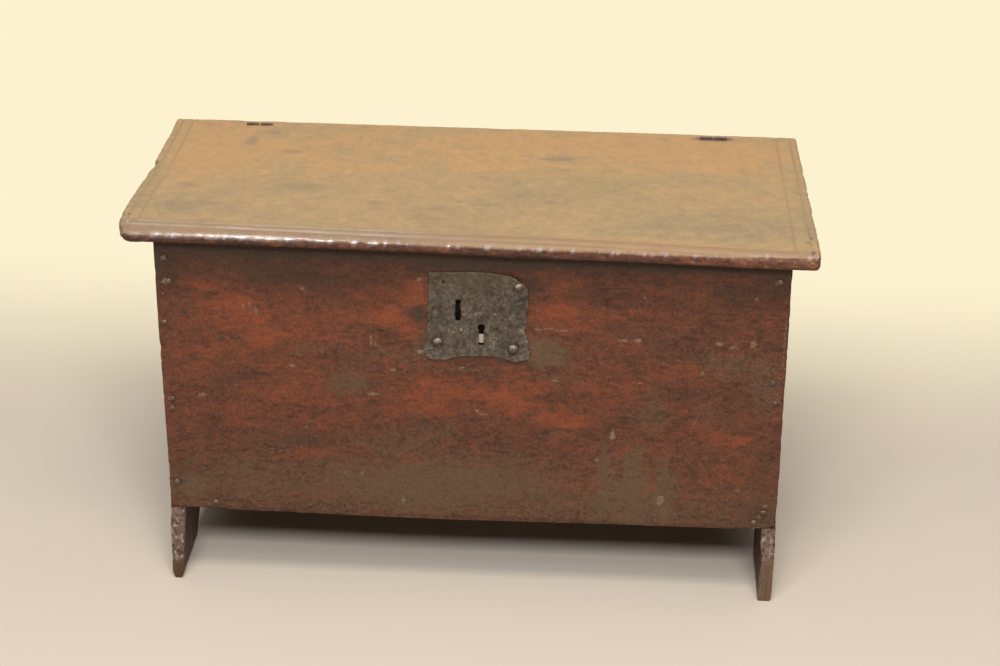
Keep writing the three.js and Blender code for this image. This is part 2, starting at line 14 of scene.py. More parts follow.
import bpy
import numpy as np
from mathutils import Matrix, Vector
from mathutils.geometry import delaunay_2d_cdt


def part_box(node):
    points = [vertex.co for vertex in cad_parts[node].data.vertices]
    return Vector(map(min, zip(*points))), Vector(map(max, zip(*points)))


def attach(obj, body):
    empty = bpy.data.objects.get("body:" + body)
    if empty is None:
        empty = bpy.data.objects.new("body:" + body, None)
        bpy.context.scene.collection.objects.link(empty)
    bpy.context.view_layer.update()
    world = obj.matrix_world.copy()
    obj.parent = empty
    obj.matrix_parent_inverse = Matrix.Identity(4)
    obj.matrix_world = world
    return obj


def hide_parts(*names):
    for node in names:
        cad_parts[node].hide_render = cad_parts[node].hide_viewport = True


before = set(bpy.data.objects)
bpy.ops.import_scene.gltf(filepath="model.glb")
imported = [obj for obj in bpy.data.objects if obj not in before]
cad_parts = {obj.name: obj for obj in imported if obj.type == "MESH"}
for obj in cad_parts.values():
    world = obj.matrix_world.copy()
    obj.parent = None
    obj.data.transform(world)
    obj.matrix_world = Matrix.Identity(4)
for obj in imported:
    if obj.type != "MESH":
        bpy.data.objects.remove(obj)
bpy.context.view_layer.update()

MM = 0.001
Array = np.ndarray
Faces = list[list[int]]
Point = tuple[float, float, float]
Colour = tuple[float, float, float]
log = logging.getLogger("coffer")


class Body(Enum):
    """The rigid groups that pieces ride on."""

    CHEST = "chest"
    LID = "lid"


class Slot(Enum):
    """The record's material slots."""

    LID_OAK = "lid_oak"
    CHEST_OAK = "chest_oak"
    INNER_OAK = "inner_oak"
    HINGE_IRON = "hinge_iron"
    PLATE_IRON = "plate_iron"
    LOCK_IRON = "lock_iron"
    NAIL_IRON = "nail_iron"


class Grain(Enum):
    """The way that a board's grain runs, as how far its figure is drawn out along x, y and z."""

    ALONG_X = (1.0, 9.0, 9.0)
    UPRIGHT = (9.0, 9.0, 1.0)


# Random heights


class Noise:
    """Smooth random heights over a space, the same on every run."""

    SIZE = 4096

    def __init__(self, seed: int) -> None:
        """Draws the table of corner heights."""
        self.table = np.random.default_rng(seed).random(self.SIZE) * 2 - 1

    def _corner(self, cell: Array) -> Array:
        """The heights at whole-number corners."""
        i, j, k = cell.T
        return self.table[(i * 73856093 ^ j * 19349663 ^ k * 83492791) & (self.SIZE - 1)]

    def at(self, points: Array, stretch: Sequence[float], octaves: int = 3) -> Array:
        """Sums finer and finer heights.

        Args:
            points: places in millimetres, one row each.
            stretch: how long a bump is along x, y and z, in millimetres.
            octaves: how many layers to add, each half as large as the last.

        Returns:
            One height for each row, mostly from -1 to 1.
        """
        total = np.zeros(len(points))
        for octave in range(octaves):
            place = points / np.asarray(stretch, float) * 2.0**octave + 17.31 * octave
            cell = np.floor(place).astype(np.int64)
            share = place - cell
            share = share * share * (3 - 2 * share)
            for corner in itertools.product((0, 1), repeat=3):
                weight = np.prod(np.where(corner, share, 1 - share), axis=1)
                total += weight * self._corner(cell + corner) * 0.5**octave
        return total


def smooth(values: Array, low: float, high: float) -> Array:
    """A soft step."""
    share = np.clip((values - low) / (high - low), 0, 1)
    return share * share * (3 - 2 * share)


def to_segment(points: Array, start: Sequence[float], end: Sequence[float]) -> Array:
    """How far points lie from a straight line between two places.

    Args:
        points: places, one row each.
        start: one end of the line.
        end: its other end.

    Returns:
        One distance for each row.
    """
    start, along = np.asarray(start, float), np.subtract(end, start).astype(float)
    share = np.clip((points - start) @ along / max(along @ along, 1e-9), 0, 1)
    return np.linalg.norm(points - start - share[:, None] * along, axis=1)


def to_lines(points: Array, lines: Sequence[Sequence[Array]]) -> Array:
    """How far points lie from the nearest of some straight lines.

    Args:
        points: places, one row each.
        lines: the two ends of each line.

    Returns:
        One distance for each row.
    """
    away = np.full(len(points), np.inf)
    for start, end in lines:
        away = np.minimum(away, to_segment(points, start, end))
    return away


def sides_of(loop: Array) -> Array:
    """The two ends of each side of a closed outline, for its points in order."""
    return np.stack([loop, np.roll(loop, -1, 0)], 1)


def from_edges(points: Array, left: float, right: float, low: float, high: float) -> Array:
    """How far points lie inside a rectangle."""
    u, v = points.T
    return np.minimum(np.minimum(u - left, right - u), np.minimum(v - low, high - v))


def bell(away: Array, width: float) -> Array:
    """A soft hill, 1 where away is 0."""
    return np.exp(-((away / width) ** 2))


# Solids from sheets


def add_object(name: str, data: bpy.types.ID) -> bpy.types.Object:
    """Puts a mesh, a lamp or a camera into the scene."""
    thing = bpy.data.objects.new(name, data)
    bpy.context.scene.collection.objects.link(thing)
    return thing


def lay(mesh: bpy.types.Mesh, label: str, values: Array) -> None:
    """Keeps a named value at each point of a mesh."""
    layer = mesh.attributes.new(label, "FLOAT", "POINT")
    layer.data.foreach_set("value", np.asarray(values, np.float32))


@dataclass(frozen=True)
class Setting:
    """How a board's own directions lie in the chest.

    Attributes:
        origin: where u, v and w are all zero.
        u: the board's length.
        v: its width.
        w: out of its face.
    """

    origin: Point
    u: tuple[int, int, int]
    v: tuple[int, int, int]
    w: tuple[int, int, int]

    def place(self, local: Array) -> Array:
        """Moves points from the board's directions to the chest's."""
        return np.asarray(self.origin, float) + local @ np.array([self.u, self.v, self.w], float)


@dataclass
class Sheet:
    """A net of points in a board's plane.

    Attributes:
        points: u and v, one row each.
        faces: corners of each face, turning left.
    """

    points: Array
    faces: Array

    @classmethod
    def grid(cls, us: Array, vs: Array) -> "Sheet":
        """Makes a net of four-sided faces.

        Args:
            us: the lines across u.
            vs: the lines across v.

        Returns:
            The net.
        """
        index = np.arange(len(us) * len(vs)).reshape(len(us), len(vs))
        faces = np.stack([index[:-1, :-1], index[1:, :-1], index[1:, 1:], index[:-1, 1:]], -1)
        return cls(np.stack(np.meshgrid(us, vs, indexing="ij"), -1).reshape(-1, 2), faces.reshape(-1, 4))

    def only(self, chosen: Array) -> "Sheet":
        """Keeps some of the faces, and no point that none of them uses."""
        used, inverse = np.unique(self.faces[chosen], return_inverse=True)
        return Sheet(self.points[used], inverse.reshape(-1, self.faces.shape[1]))

    def border(self) -> Array:
        """Finds the edges that only one face uses.

        Returns:
            Start and end of each edge, with the sheet on its left.
        """
        edges = np.concatenate(
            [np.stack([self.faces[:, i], np.roll(self.faces, -1, 1)[:, i]], 1)
             for i in range(self.faces.shape[1])])
        span = len(self.points)
        code, back = edges[:, 0] * span + edges[:, 1], edges[:, 1] * span + edges[:, 0]
        return edges[~np.isin(code, back)]


@dataclass
class Shell:
    """A closed surface on its way to becoming a piece.

    Attributes:
        points: x, y and z in millimetres, one row each.
        faces: corners of each face.
        arris: how far each point lies from the nearest sharp edge, in millimetres.
        paints: named values over the surface, which the finish reads.
    """

    points: Array
    faces: Faces
    arris: Array
    paints: dict[str, Array] = field(default_factory=dict)

    def normals(self) -> Array:
        """Works out which way the surface faces.

        Returns:
            One outward direction for each point.
        """
        total = np.zeros_like(self.points)
        for count in (3, 4):
            chosen = np.array([f for f in self.faces if len(f) == count])
            if not len(chosen):
                continue
            corner = self.points[chosen]
            turn = np.cross(corner[:, 2] - corner[:, 0], corner[:, count - 1] - corner[:, 1])
            for i in range(count):
                np.add.at(total, chosen[:, i], turn if count == 4 else -turn)
        return total / np.maximum(np.linalg.norm(total, axis=1, keepdims=True), 1e-9)

    def push(self, amounts: Array) -> None:
        """Moves the surface out or in."""
        self.points = self.points + self.normals() * amounts[:, None]

    def to_piece(self, name: str, material: bpy.types.Material) -> bpy.types.Object:
        """Makes the Blender object.

        Args:
            name: the piece's name.
            material: its finish.

        Returns:
            The object, at the origin.
        """
        mesh = bpy.data.meshes.new(name)
        mesh.from_pydata((self.points * MM).tolist(), [], self.faces)
        mesh.validate()
        mesh.polygons.foreach_set("use_smooth", np.ones(len(mesh.polygons), bool))
        for label, values in self.paints.items():
            lay(mesh, label, values)
        mesh.materials.append(material)
        return add_object(name, mesh)


def round_drop(inset: Array, radius: float) -> Array:
    """How far a rounded edge falls away."""
    left = np.clip(radius - inset, 0, radius)
    return radius - np.sqrt(np.maximum(radius * radius - left * left, 0))


def graded(low: float, high: float, step: float, radius: float, extra: Sequence[float] = ()) -> Array:
    """Lines across a board, closer together where its edges are rounded.

    Args:
        low: one edge.
        high: the other edge.
        step: the widest spacing.
        radius: how far the rounding reaches in.
        extra: lines that have to be there.

    Returns:
        The lines, in order.
    """
    bend = radius * (1 - np.cos(np.linspace(0, math.pi / 2, 6)))
    inner = np.linspace(low + radius, high - radius, max(2, round((high - low - 2 * radius) / step) + 1))
    lines = np.unique(np.round(np.concatenate([low + bend, inner, high - bend]), 4))
    if not len(extra):
        return lines
    wanted = np.unique(extra)
    near = np.abs(lines[:, None] - wanted[None]).min(1) < step * 0.3
    near[[0, -1]] = False
    return np.unique(np.concatenate([lines[~near], wanted]))


def thicken(sheet: Sheet, top: Array, under: Array, levels: Sequence[float]) -> tuple[Array, Faces, Array]:
    """Closes a sheet into a solid with the same net on both faces.

    Args:
        sheet: the net.
        top: height of each of its points on the outer face.
        under: height of each on the inner face.
        levels: shares of the way down at which the walls have lines.

    Returns:
        The points, the faces, and for each point its share of the way down.
    """
    count, border = len(sheet.points), sheet.border()
    rim = np.unique(border)
    ring = np.full(count, -1)
    ring[rim] = np.arange(len(rim))
    points = [np.column_stack([sheet.points, top]), np.column_stack([sheet.points, under])]
    down = [np.zeros(count), np.ones(count)]
    for level in levels:
        height = top[rim] + (under[rim] - top[rim]) * level
        points.append(np.column_stack([sheet.points[rim], height]))
        down.append(np.full(len(rim), level))
    faces = sheet.faces.tolist() + (sheet.faces[:, ::-1] + count).tolist()
    rows = [border] + [2 * count + i * len(rim) + ring[border] for i in range(len(levels))] + [border + count]
    for upper, lower in zip(rows, rows[1:]):
        faces += np.stack([upper[:, 0], lower[:, 0], lower[:, 1], upper[:, 1]], 1).tolist()
    return np.concatenate(points), faces, np.concatenate(down)


def triangles(loops: Sequence[Array], inner: Array) -> tuple[Sheet, list[list[int]]]:
    """Joins points into triangles, all of which turn left.

    Args:
        loops: closed outlines that stay sharp.
        inner: more points.

    Returns:
        The net, and for each of its points the given ones that it comes from.
    """
    edges, start = [], 0
    for loop in loops:
        edges += [(start + i, start + (i + 1) % len(loop)) for i in range(len(loop))]
        start += len(loop)
    given = [Vector(p) for p in np.concatenate([*loops, inner]).tolist()]
    points, _, faces, origins, _, _ = delaunay_2d_cdt(given, edges, [], 1, 1e-5)
    points, faces = np.array([tuple(p) for p in points]), np.array(faces)
    a, b, c = points[faces].transpose(1, 0, 2)
    turned = (b - a)[:, 0] * (c - a)[:, 1] - (b - a)[:, 1] * (c - a)[:, 0] < 0
    faces[turned] = faces[turned][:, ::-1]
    return Sheet(points, faces), origins


def cap(loop: Array, spacing: float) -> tuple[Array, Array, Array]:
    """Fills a closed outline with triangles.

    Args:
        loop: the outline's points, in order.
        spacing: distance between the points inside it.

    Returns:
        The points, the triangles turning left, and each outline point's place among the points.
    """
    low, high = loop.min(0), loop.max(0)
    inner = np.stack(np.meshgrid(np.arange(low[0] + spacing, high[0], spacing),
                                 np.arange(low[1] + spacing, high[1], spacing)), -1).reshape(-1, 2)
    inner = inner[to_lines(inner, sides_of(loop)) > spacing * 0.4]
    sheet, origins = triangles([loop], inner)
    place = np.zeros(len(loop), int)
    for i, sources in enumerate(origins):
        for source in sources:
            if source < len(loop):
                place[source] = i
    return sheet.points, sheet.faces, place


def closed(sheet: Sheet, top: Array, rings: Sequence[Array], spacing: float,
           level: float) -> tuple[Array, Faces]:
    """Closes a sheet into a solid by rings down its edge and a cap under the last of them.

    Args:
        sheet: the net of the outer face.
        top: its points, in space.
        rings: the edge's points at each level on the way down, in space, and last in the cap's plane.
        spacing: distance between the points inside the cap.
        level: the cap's height.

    Returns:
        The points and the faces.
    """
    inner, tris, place = cap(rings[-1], spacing)
    loop, count = ordered(sheet.border()), len(top)
    ring = len(loop)
    base = count + (len(rings) - 1) * ring
    rows = [loop] + [count + i * ring + np.arange(ring) for i in range(len(rings) - 1)] + [base + place]
    faces = sheet.faces.tolist()
    for upper, lower in zip(rows, rows[1:]):
        faces += np.stack([upper, lower, np.roll(lower, -1), np.roll(upper, -1)], 1).tolist()
    faces += (tris[:, ::-1] + base).tolist()
    return np.concatenate([top, *rings[:-1], np.column_stack([inner, np.full(len(inner), level)])]), faces


def ordered(border: Array) -> Array:
    """Puts border edges in order round the sheet.

    Args:
        border: start and end of each edge, all in one loop.

    Returns:
        The points' numbers in order.
    """
    following = dict(border.tolist())
    loop = [int(border[0, 0])]
    while following[loop[-1]] != loop[0]:
        loop.append(following[loop[-1]])
    return np.array(loop)


# Finishes


def maths(operation: str, swapped: bool = False) -> Callable[["Tone", "Tone | float"], "Tone"]:
    """Makes a method of Tone that adds one Math node.

    Args:
        operation: the node's operation.
        swapped: whether the other value comes first.

    Returns:
        The method.
    """
    def method(tone: "Tone", other: "Tone | float") -> "Tone":
        """Puts this and the other value through the node."""
        values = (other, tone) if swapped else (tone, other)
        return tone.shader.node("ShaderNodeMath", {"operation": operation}, dict(enumerate(values)))
    return method


class Tone:
    """A shader value, colour or vector that Python sums can be written with."""

    def __init__(self, shader: "Shader", socket: bpy.types.NodeSocket) -> None:
        """Wraps an output socket of a material."""
        self.shader, self.socket = shader, socket

    __add__, __radd__ = maths("ADD"), maths("ADD", True)
    __sub__, __rsub__ = maths("SUBTRACT"), maths("SUBTRACT", True)
    __mul__, __rmul__ = maths("MULTIPLY"), maths("MULTIPLY", True)
    most, least = maths("MAXIMUM"), maths("MINIMUM")

    def step(self, low: float, high: float) -> "Tone":
        """A soft step from 0 at low to 1 at high."""
        return self.shader.node(
            "ShaderNodeMapRange", {"interpolation_type": "SMOOTHSTEP"},
            {0: self, 1: low, 2: high, 3: 0.0, 4: 1.0})


class Shader:
    """A procedural material while it is being made."""

    def __init__(self, name: str, world: bpy.types.World | None = None) -> None:
        """Starts an empty material, or empties a world.

        Args:
            name: the material's name.
            world: the world, if that is what it is for.
        """
        self.material = world or bpy.data.materials.new(name)
        self.material.use_nodes = True
        self.tree = self.material.node_tree
        self.tree.nodes.clear()
        self.place = self.node("ShaderNodeTexCoord", {}, {}, "Generated" if world else "Object")

    def node(self, kind: str, settings: dict, values: dict, output: int | str = 0) -> Tone:
        """Adds any node.

        Args:
            kind: the node's type.
            settings: its settings, set first; stops are a colour ramp's evenly spaced colours.
            values: what each of its sockets gets, by number or name.
            output: the socket to hand back.

        Returns:
            That socket.
        """
        made = self.tree.nodes.new(kind)
        for key, value in settings.items():
            if key != "stops":
                setattr(made, key, value)
                continue
            ramp = made.color_ramp.elements
            ramp[0].color, ramp[1].color = (*value[0], 1.0), (*value[-1], 1.0)
            for i, colour in enumerate(value[1:-1], 1):
                ramp.new(i / (len(value) - 1)).color = (*colour, 1.0)
        for key, value in values.items():
            if isinstance(value, Tone):
                self.tree.links.new(value.socket, made.inputs[key])
            else:
                socket = made.inputs[key]
                wide = socket.type == "RGBA" and len(value) == 3
                socket.default_value = (*value, 1.0) if wide else value
        return Tone(self, made.outputs[output])

    def noise(self, scale: Sequence[float], detail: float = 3.0, rough: float = 0.55,
              bend: float = 0.0) -> Tone:
        """Cloudy values from 0 to 1."""
        place = self.node("ShaderNodeVectorMath", {"operation": "MULTIPLY"}, {0: self.place, 1: tuple(scale)})
        return self.node("ShaderNodeTexNoise", {}, {
            "Vector": place, "Scale": 1.0, "Detail": detail, "Roughness": rough, "Distortion": bend})

    def layers(self, grain: Sequence[float], *rows: Sequence[float]) -> list[Tone]:
        """Several noises from -0.5 to 0.5."""
        gx, gy, gz = grain
        return [self.noise((gx * x, gy * yz, gz * yz), *rest) - 0.5 for x, yz, *rest in rows]

    def paint(self, label: str) -> Tone:
        """A value that was painted on the surface."""
        return self.node("ShaderNodeAttribute", {"attribute_name": label}, {}, "Fac")

    def mix(self, share: Tone | float, first: Tone | Colour, second: Tone | Colour, way: str = "MIX") -> Tone:
        """Blends two colours."""
        return self.node(
            "ShaderNodeMix", {"data_type": "RGBA", "blend_type": way, "clamp_factor": True},
            {0: share, 6: first, 7: second}, 2)

    def ramp(self, value: Tone, colours: Sequence[Colour]) -> Tone:
        """Turns a value into a colour by evenly spaced steps."""
        return self.node("ShaderNodeValToRGB", {"stops": colours}, {0: value})

    def grey(self, value: Tone) -> Tone:
        """Turns a value into a colour, so that it can multiply one."""
        return self.node("ShaderNodeCombineColor", {}, {0: value, 1: value, 2: value})

    def strokes(self, marks: Sequence["Stroke"]) -> Tone:
        """Thin lines drawn on a board's face.

        Args:
            marks: the lines.

        Returns:
            1 on a line and 0 away from it.
        """
        total: Tone | None = None
        for mark in marks:
            start, along = Vector(mark.start) * MM, (Vector(mark.end) - Vector(mark.start)) * MM
            away = self.node("ShaderNodeVectorMath", {"operation": "SUBTRACT"}, {0: self.place, 1: start})
            way = along.normalized()
            run = self.node("ShaderNodeVectorMath", {"operation": "DOT_PRODUCT"}, {0: away, 1: way}, "Value")
            run = run.most(0.0).least(along.length)
            foot = self.node("ShaderNodeVectorMath", {"operation": "SCALE"}, {0: tuple(way), 3: run})
            gap = self.node("ShaderNodeVectorMath", {"operation": "DISTANCE"}, {0: away, 1: foot}, "Value")
            line = gap.step(mark.width * MM, mark.width * 0.3 * MM) * mark.strength
            total = line if total is None else total.most(line)
        return total

    def bump(self, height: Tone, depth: float, below: Tone | None = None) -> Tone:
        """Fine relief.

        Args:
            height: the relief, from 0 to 1.
            depth: how deep 1 is, in millimetres.
            below: coarser relief to add it to.

        Returns:
            The bent normal.
        """
        values = {"Strength": 1.0, "Distance": depth * MM, "Height": height}
        if below is not None:
            values["Normal"] = below
        return self.node("ShaderNodeBump", {}, values)

    def finish(self, **sockets: Tone | Colour | float) -> bpy.types.Material:
        """Closes the material with one surface shader.

        Args:
            sockets: what each of its sockets gets, with _ for a space.

        Returns:
            The material.
        """
        values = {key.replace("_", " "): value for key, value in sockets.items()}
        surface = self.node("ShaderNodeBsdfPrincipled", {}, values)
        self.node_output(surface)
        return self.material

    def seen_rays(self) -> Tone:
        """Picks out the rays that see a backdrop, and not those that light the object."""
        kinds = ("Camera", "Glossy", "Transmission")
        rays = [self.node("ShaderNodeLightPath", {}, {}, f"Is {kind} Ray") for kind in kinds]
        return rays[0].most(rays[1]).most(rays[2])

    def node_output(self, surface: Tone, kind: str = "ShaderNodeOutputMaterial") -> None:
        """Links the surface to the material's output."""
        out = self.tree.nodes.new(kind)
        self.tree.links.new(surface.socket, out.inputs["Surface"])


@dataclass(frozen=True)
class Stroke:
    """A thin line on a board's face, in the chest's frame.

    Attributes:
        start: one end.
        end: the other end.
        width: how wide it is.
        strength: how strongly it shows, up to 1.
    """

    start: Point
    end: Point
    width: float = 1.0
    strength: float = 1.0


FRONT_FACE = -191.5


def scored(*table: tuple[float, ...]) -> tuple[Stroke, ...]:
    """Makes lines on the front board's face."""
    return tuple(Stroke((a, FRONT_FACE, b), (c, FRONT_FACE, d), *rest) for a, b, c, d, *rest in table)


@dataclass(frozen=True)
class OldOak:
    """Oak under a dark, red-brown old finish.

    Attributes:
        grain: which way it runs.
        tones: the finish from dirt to bare warm wood, in even steps.
        olive: where it is dull and dusty.
        dark: where dirt has built up, and painted shade under the lid, over the top of the front board, under
            and beside the plate and on the feet's inner faces.
        pale: flecks and scuffs, and a painted star-shaped glint round one nail head.
        warmth: added to the tone everywhere.
        split_glint: a painted glint on the ridges where an axe has left the end grain rough; when it is set,
            the hollows between them get painted shade.
        shakes: thin dark cracks.
        scratches: thin pale lines.
    """

    grain: Grain = Grain.ALONG_X
    tones: tuple[Colour, ...] = (
        (0.036, 0.018, 0.013), (0.070, 0.028, 0.017), (0.110, 0.040, 0.023), (0.162, 0.049, 0.025),
        (0.218, 0.059, 0.026))
    olive: Colour = (0.118, 0.076, 0.042)
    dark: Colour = (0.050, 0.036, 0.024)
    pale: Colour = (0.300, 0.235, 0.160)
    warmth: float = 0.0
    split_glint: Colour | None = None
    shakes: tuple[Stroke, ...] = ()
    scratches: tuple[Stroke, ...] = ()

    def build(self, name: str) -> bpy.types.Material:
        """Makes the material.

        Args:
            name: its name.

        Returns:
            The material.
        """
        shader = Shader(name)
        paint, mix = shader.paint, shader.mix
        cloud, patch, streak, fine, hatch, grime, dust = shader.layers(
            self.grain.value,
            (5.0, 2.2, 3.0, 0.6, 0.5), (30.0, 6.5, 4.0, 0.65, 0.6), (72.0, 17.0, 4.0, 0.66, 0.3),
            (200.0, 32.0, 3.0, 0.6), (420.0, 15.0, 2.0, 0.6), (95.0, 15.0, 5.0, 0.72, 0.5),
            (160.0, 26.0, 4.0, 0.68, 0.8))
        speck = shader.noise((430.0, 430.0, 430.0), 2.0, 0.7) - 0.5
        tone = (paint("red") * 0.44 + (0.33 + self.warmth) + cloud * 0.35 + patch * 0.95 + streak * 1.25
                + fine * 0.5 + hatch * 0.22 + speck * 0.18)
        colour = shader.ramp(tone, self.tones)
        olive = (paint("olive") * 0.9 + grime * 2.4 + dust * 1.5 + fine * 0.5).step(-0.05, 1.1)
        colour = mix(olive * 0.8, colour, self.olive)
        # Dirt, and painted shade under the lid, over the top of the front board, round the plate and on the
        # feet's inner faces.
        dark = (paint("dark") * 0.85 + patch * 0.8 + grime * 2.0 + streak * 1.4 + speck * 0.5).step(0.2, 1.3)
        colour = mix(dark * 0.78, colour, self.dark)
        lift = 1.0 + fine * 0.42 + speck * 0.38 + hatch * 0.32 + dust * 0.62
        colour = mix(1.0, colour, shader.grey(lift), "MULTIPLY")
        crumbs = (speck * 1.5 + dust * 1.2 + fine * 0.8 + paint("fleck") * 0.42).step(0.50, 0.85)
        pale = (paint("pale") * (1.0 + speck * 2.0 + fine * 1.6)).step(0.25, 1.1) * 0.55
        if self.scratches:
            pale = pale.most(shader.strokes(self.scratches) * (0.5 + grime * 1.5 + fine).least(1.0) * 0.6)
        colour = mix(pale.most(crumbs * 0.42), colour, self.pale)
        height = streak * 0.8 + fine * 0.6 + grime * 0.6 + hatch * 0.2
        if self.shakes:
            crack = shader.strokes(self.shakes) * (0.7 + fine)
            colour = mix(crack * 0.8, colour, (0.020, 0.010, 0.007))
            height = height - crack * 0.8
        rough = 0.54 + grime * 0.5 + dark * 0.10 + olive * 0.08 - paint("polish") * 0.22
        # Axe-split end grain: a painted glint on the cuts' ridges and painted shade in their hollows, over
        # relief that is really cut.
        if self.split_glint:
            cut = shader.noise((150.0, 150.0, 105.0), 3.0, 0.6, 1.0) - 0.5
            broken = paint("hack")
            colour = mix(broken * 0.8, colour, (0.190, 0.130, 0.102))
            colour = mix(broken * (cut * -1.0).step(0.0, 0.14) * 0.85, colour, (0.050, 0.031, 0.026))
            colour = mix(broken * cut.step(0.03, 0.17) * 0.9, colour, self.split_glint)
            height = height + cut * broken * 2.5
            rough = rough - broken * 0.15
        # Near black where hollow is painted: painted shade in the lock's pocket, and a little over the top of
        # the front board.
        colour = mix(paint("hollow"), colour, (0.008, 0.006, 0.005))
        relief = shader.bump(speck + crumbs * 0.3, 0.14, shader.bump(height, 0.6))
        return shader.finish(Base_Color=colour, Roughness=rough, Specular_IOR_Level=0.18, Normal=relief)


@dataclass(frozen=True)
class FadedOak:
    """The lid's oak, rubbed and faded, with wax on its nose, and a painted highlight along the nose and in
    the scratched lines.

    Attributes:
        tones: its colours from greenish to warm, in even steps.
        stain: ring marks and spots.
        soot: iron stain round the hinges, dirt in dents, and painted shade in the worn notch.
        seam: the scratched lines where no highlight is painted in them.
        ledge: the moulded strip in front of the lines.
        plain: the underside, which no light has faded.
        nose: the rubbed front edge from dirt to bare wood, in even steps.
        painted_highlight: a painted highlight along the nose and in the scratched lines.
        cracks: thin dark cracks.
    """

    tones: tuple[Colour, ...] = (
        (0.372, 0.269, 0.166), (0.438, 0.306, 0.167), (0.488, 0.325, 0.169), (0.560, 0.335, 0.160))
    stain: Colour = (0.338, 0.238, 0.156)
    soot: Colour = (0.150, 0.098, 0.090)
    seam: Colour = (0.255, 0.155, 0.105)
    ledge: Colour = (0.272, 0.172, 0.114)
    plain: Colour = (0.235, 0.150, 0.090)
    nose: tuple[Colour, ...] = (
        (0.040, 0.017, 0.012), (0.088, 0.034, 0.021), (0.165, 0.064, 0.034), (0.340, 0.175, 0.090))
    painted_highlight: Colour = (0.60, 0.55, 0.60)
    cracks: tuple[Stroke, ...] = ()

    def build(self, name: str) -> bpy.types.Material:
        """Makes the material.

        Args:
            name: its name.

        Returns:
            The material.
        """
        shader = Shader(name)
        paint, mix = shader.paint, shader.mix
        cloud, patch, blot, streak, fine, speck = shader.layers(
            (1.0, 1.0, 1.0),
            (6.0, 12.0, 3.0, 0.6, 0.4), (26.0, 34.0, 4.0, 0.65, 0.3), (75.0, 60.0, 4.0, 0.72, 0.4),
            (34.0, 110.0, 4.0, 0.6), (190.0, 220.0, 3.0, 0.6), (460.0, 460.0, 2.0, 0.7))
        lumps = shader.noise((70.0, 120.0, 190.0), 4.0, 0.7, 0.4) - 0.5
        tone = (paint("warm") * 0.6 - paint("green") * 0.5 + 0.40 + cloud * 0.95 + patch * 0.85
                + blot * 0.45 + streak * 0.28 + fine * 0.2)
        colour = shader.ramp(tone, self.tones)
        stain = (paint("stain") + patch * 1.2 + fine * 0.4).step(0.15, 1.15)
        colour = mix(stain * 0.8, colour, self.stain)
        colour = mix(paint("seam") * (0.42 + patch + blot), colour, self.seam)
        colour = mix(paint("ledge") * (0.9 + patch * 1.6 + blot * 1.6 + fine), colour, self.ledge)
        lift = 1.0 + streak * 0.12 + fine * 0.20 + speck * 0.22 + patch * 0.35 + blot * 0.45
        colour = mix(1.0, colour, shader.grey(lift), "MULTIPLY")
        light = (patch * 1.6 + streak + fine * 0.6 + 0.5).step(0.1, 0.9)
        plain = mix(light, (0.130, 0.075, 0.044), self.plain)
        colour = mix(paint("under"), colour, plain)
        face = paint("nose")
        worn = (face + patch * 0.6 + fine * 0.6).step(0.2, 0.9)
        rubbed = shader.ramp(0.36 + lumps * 1.5 + fine * 0.9 + speck * 0.6 + paint("bare") * 0.4, self.nose)
        colour = mix(worn, colour, rubbed)
        # A painted highlight along the nose and in the scratched lines.
        glint = paint("glint") * (0.75 + patch * 1.6 + fine * 1.2)
        colour = mix(glint, colour, self.painted_highlight)
        # Iron stain and dirt, and painted shade in the worn notch.
        soot = (paint("soot") + patch * 0.9 + fine * 0.7).step(0.25, 1.05)
        colour = mix(soot * 0.85, colour, self.soot)
        height = streak * 0.6 + fine * 0.5 + patch * 0.8 + lumps * face * 1.6
        if self.cracks:
            crack = shader.strokes(self.cracks) * (0.55 + patch * 1.5 + fine)
            colour = mix(crack * 0.6, colour, (0.130, 0.062, 0.036))
            height = height - crack * 0.5
        polish = paint("polish")
        relief = shader.bump(speck + fine * polish, 0.09, shader.bump(height + lumps * polish * 1.4, 0.45))
        rough = 0.52 + patch * 0.4 + fine * 0.2
        coat = (polish * (0.95 + lumps * 2.4 + blot * 1.5)).step(0.2, 0.9)
        return shader.finish(
            Base_Color=colour, Roughness=rough, Specular_IOR_Level=0.25, Normal=relief,
            Coat_Weight=coat, Coat_Roughness=0.19, Coat_IOR=1.8)


@dataclass(frozen=True)
class BareOak:
    """Dry, unfinished oak inside the chest.

    Attributes:
        light: its lighter grain.
        deep: its darker grain.
        dirt: its underside, darkened as dirt and as painted shade under the chest.
    """

    light: Colour = (0.230, 0.150, 0.090)
    deep: Colour = (0.095, 0.060, 0.036)
    dirt: Colour = (0.040, 0.028, 0.020)

    def build(self, name: str) -> bpy.types.Material:
        """Makes the material.

        Args:
            name: its name.

        Returns:
            The material.
        """
        shader = Shader(name)
        below = shader.node("ShaderNodeSeparateXYZ", {}, {0: shader.place}, "Z").step(0.124, 0.120)
        streak = shader.noise((6.0, 130.0, 130.0), 4.0, 0.6)
        patch = shader.noise((7.0, 16.0, 16.0), 4.0, 0.6, 0.5)
        speck = shader.noise((400.0, 400.0, 400.0), 2.0, 0.6)
        figure = (streak * 0.7 + patch * 0.5 + speck * 0.2 - 0.2).step(0.2, 0.9)
        colour = shader.mix(figure, self.light, self.deep)
        # The underside is darkened, as dirt and as painted shade under the chest.
        colour = shader.mix(below * 0.8, colour, self.dirt)
        relief = shader.bump(streak + speck * 0.3, 0.4)
        return shader.finish(Base_Color=colour, Roughness=0.72 + (patch - 0.5) * 0.2, Normal=relief)


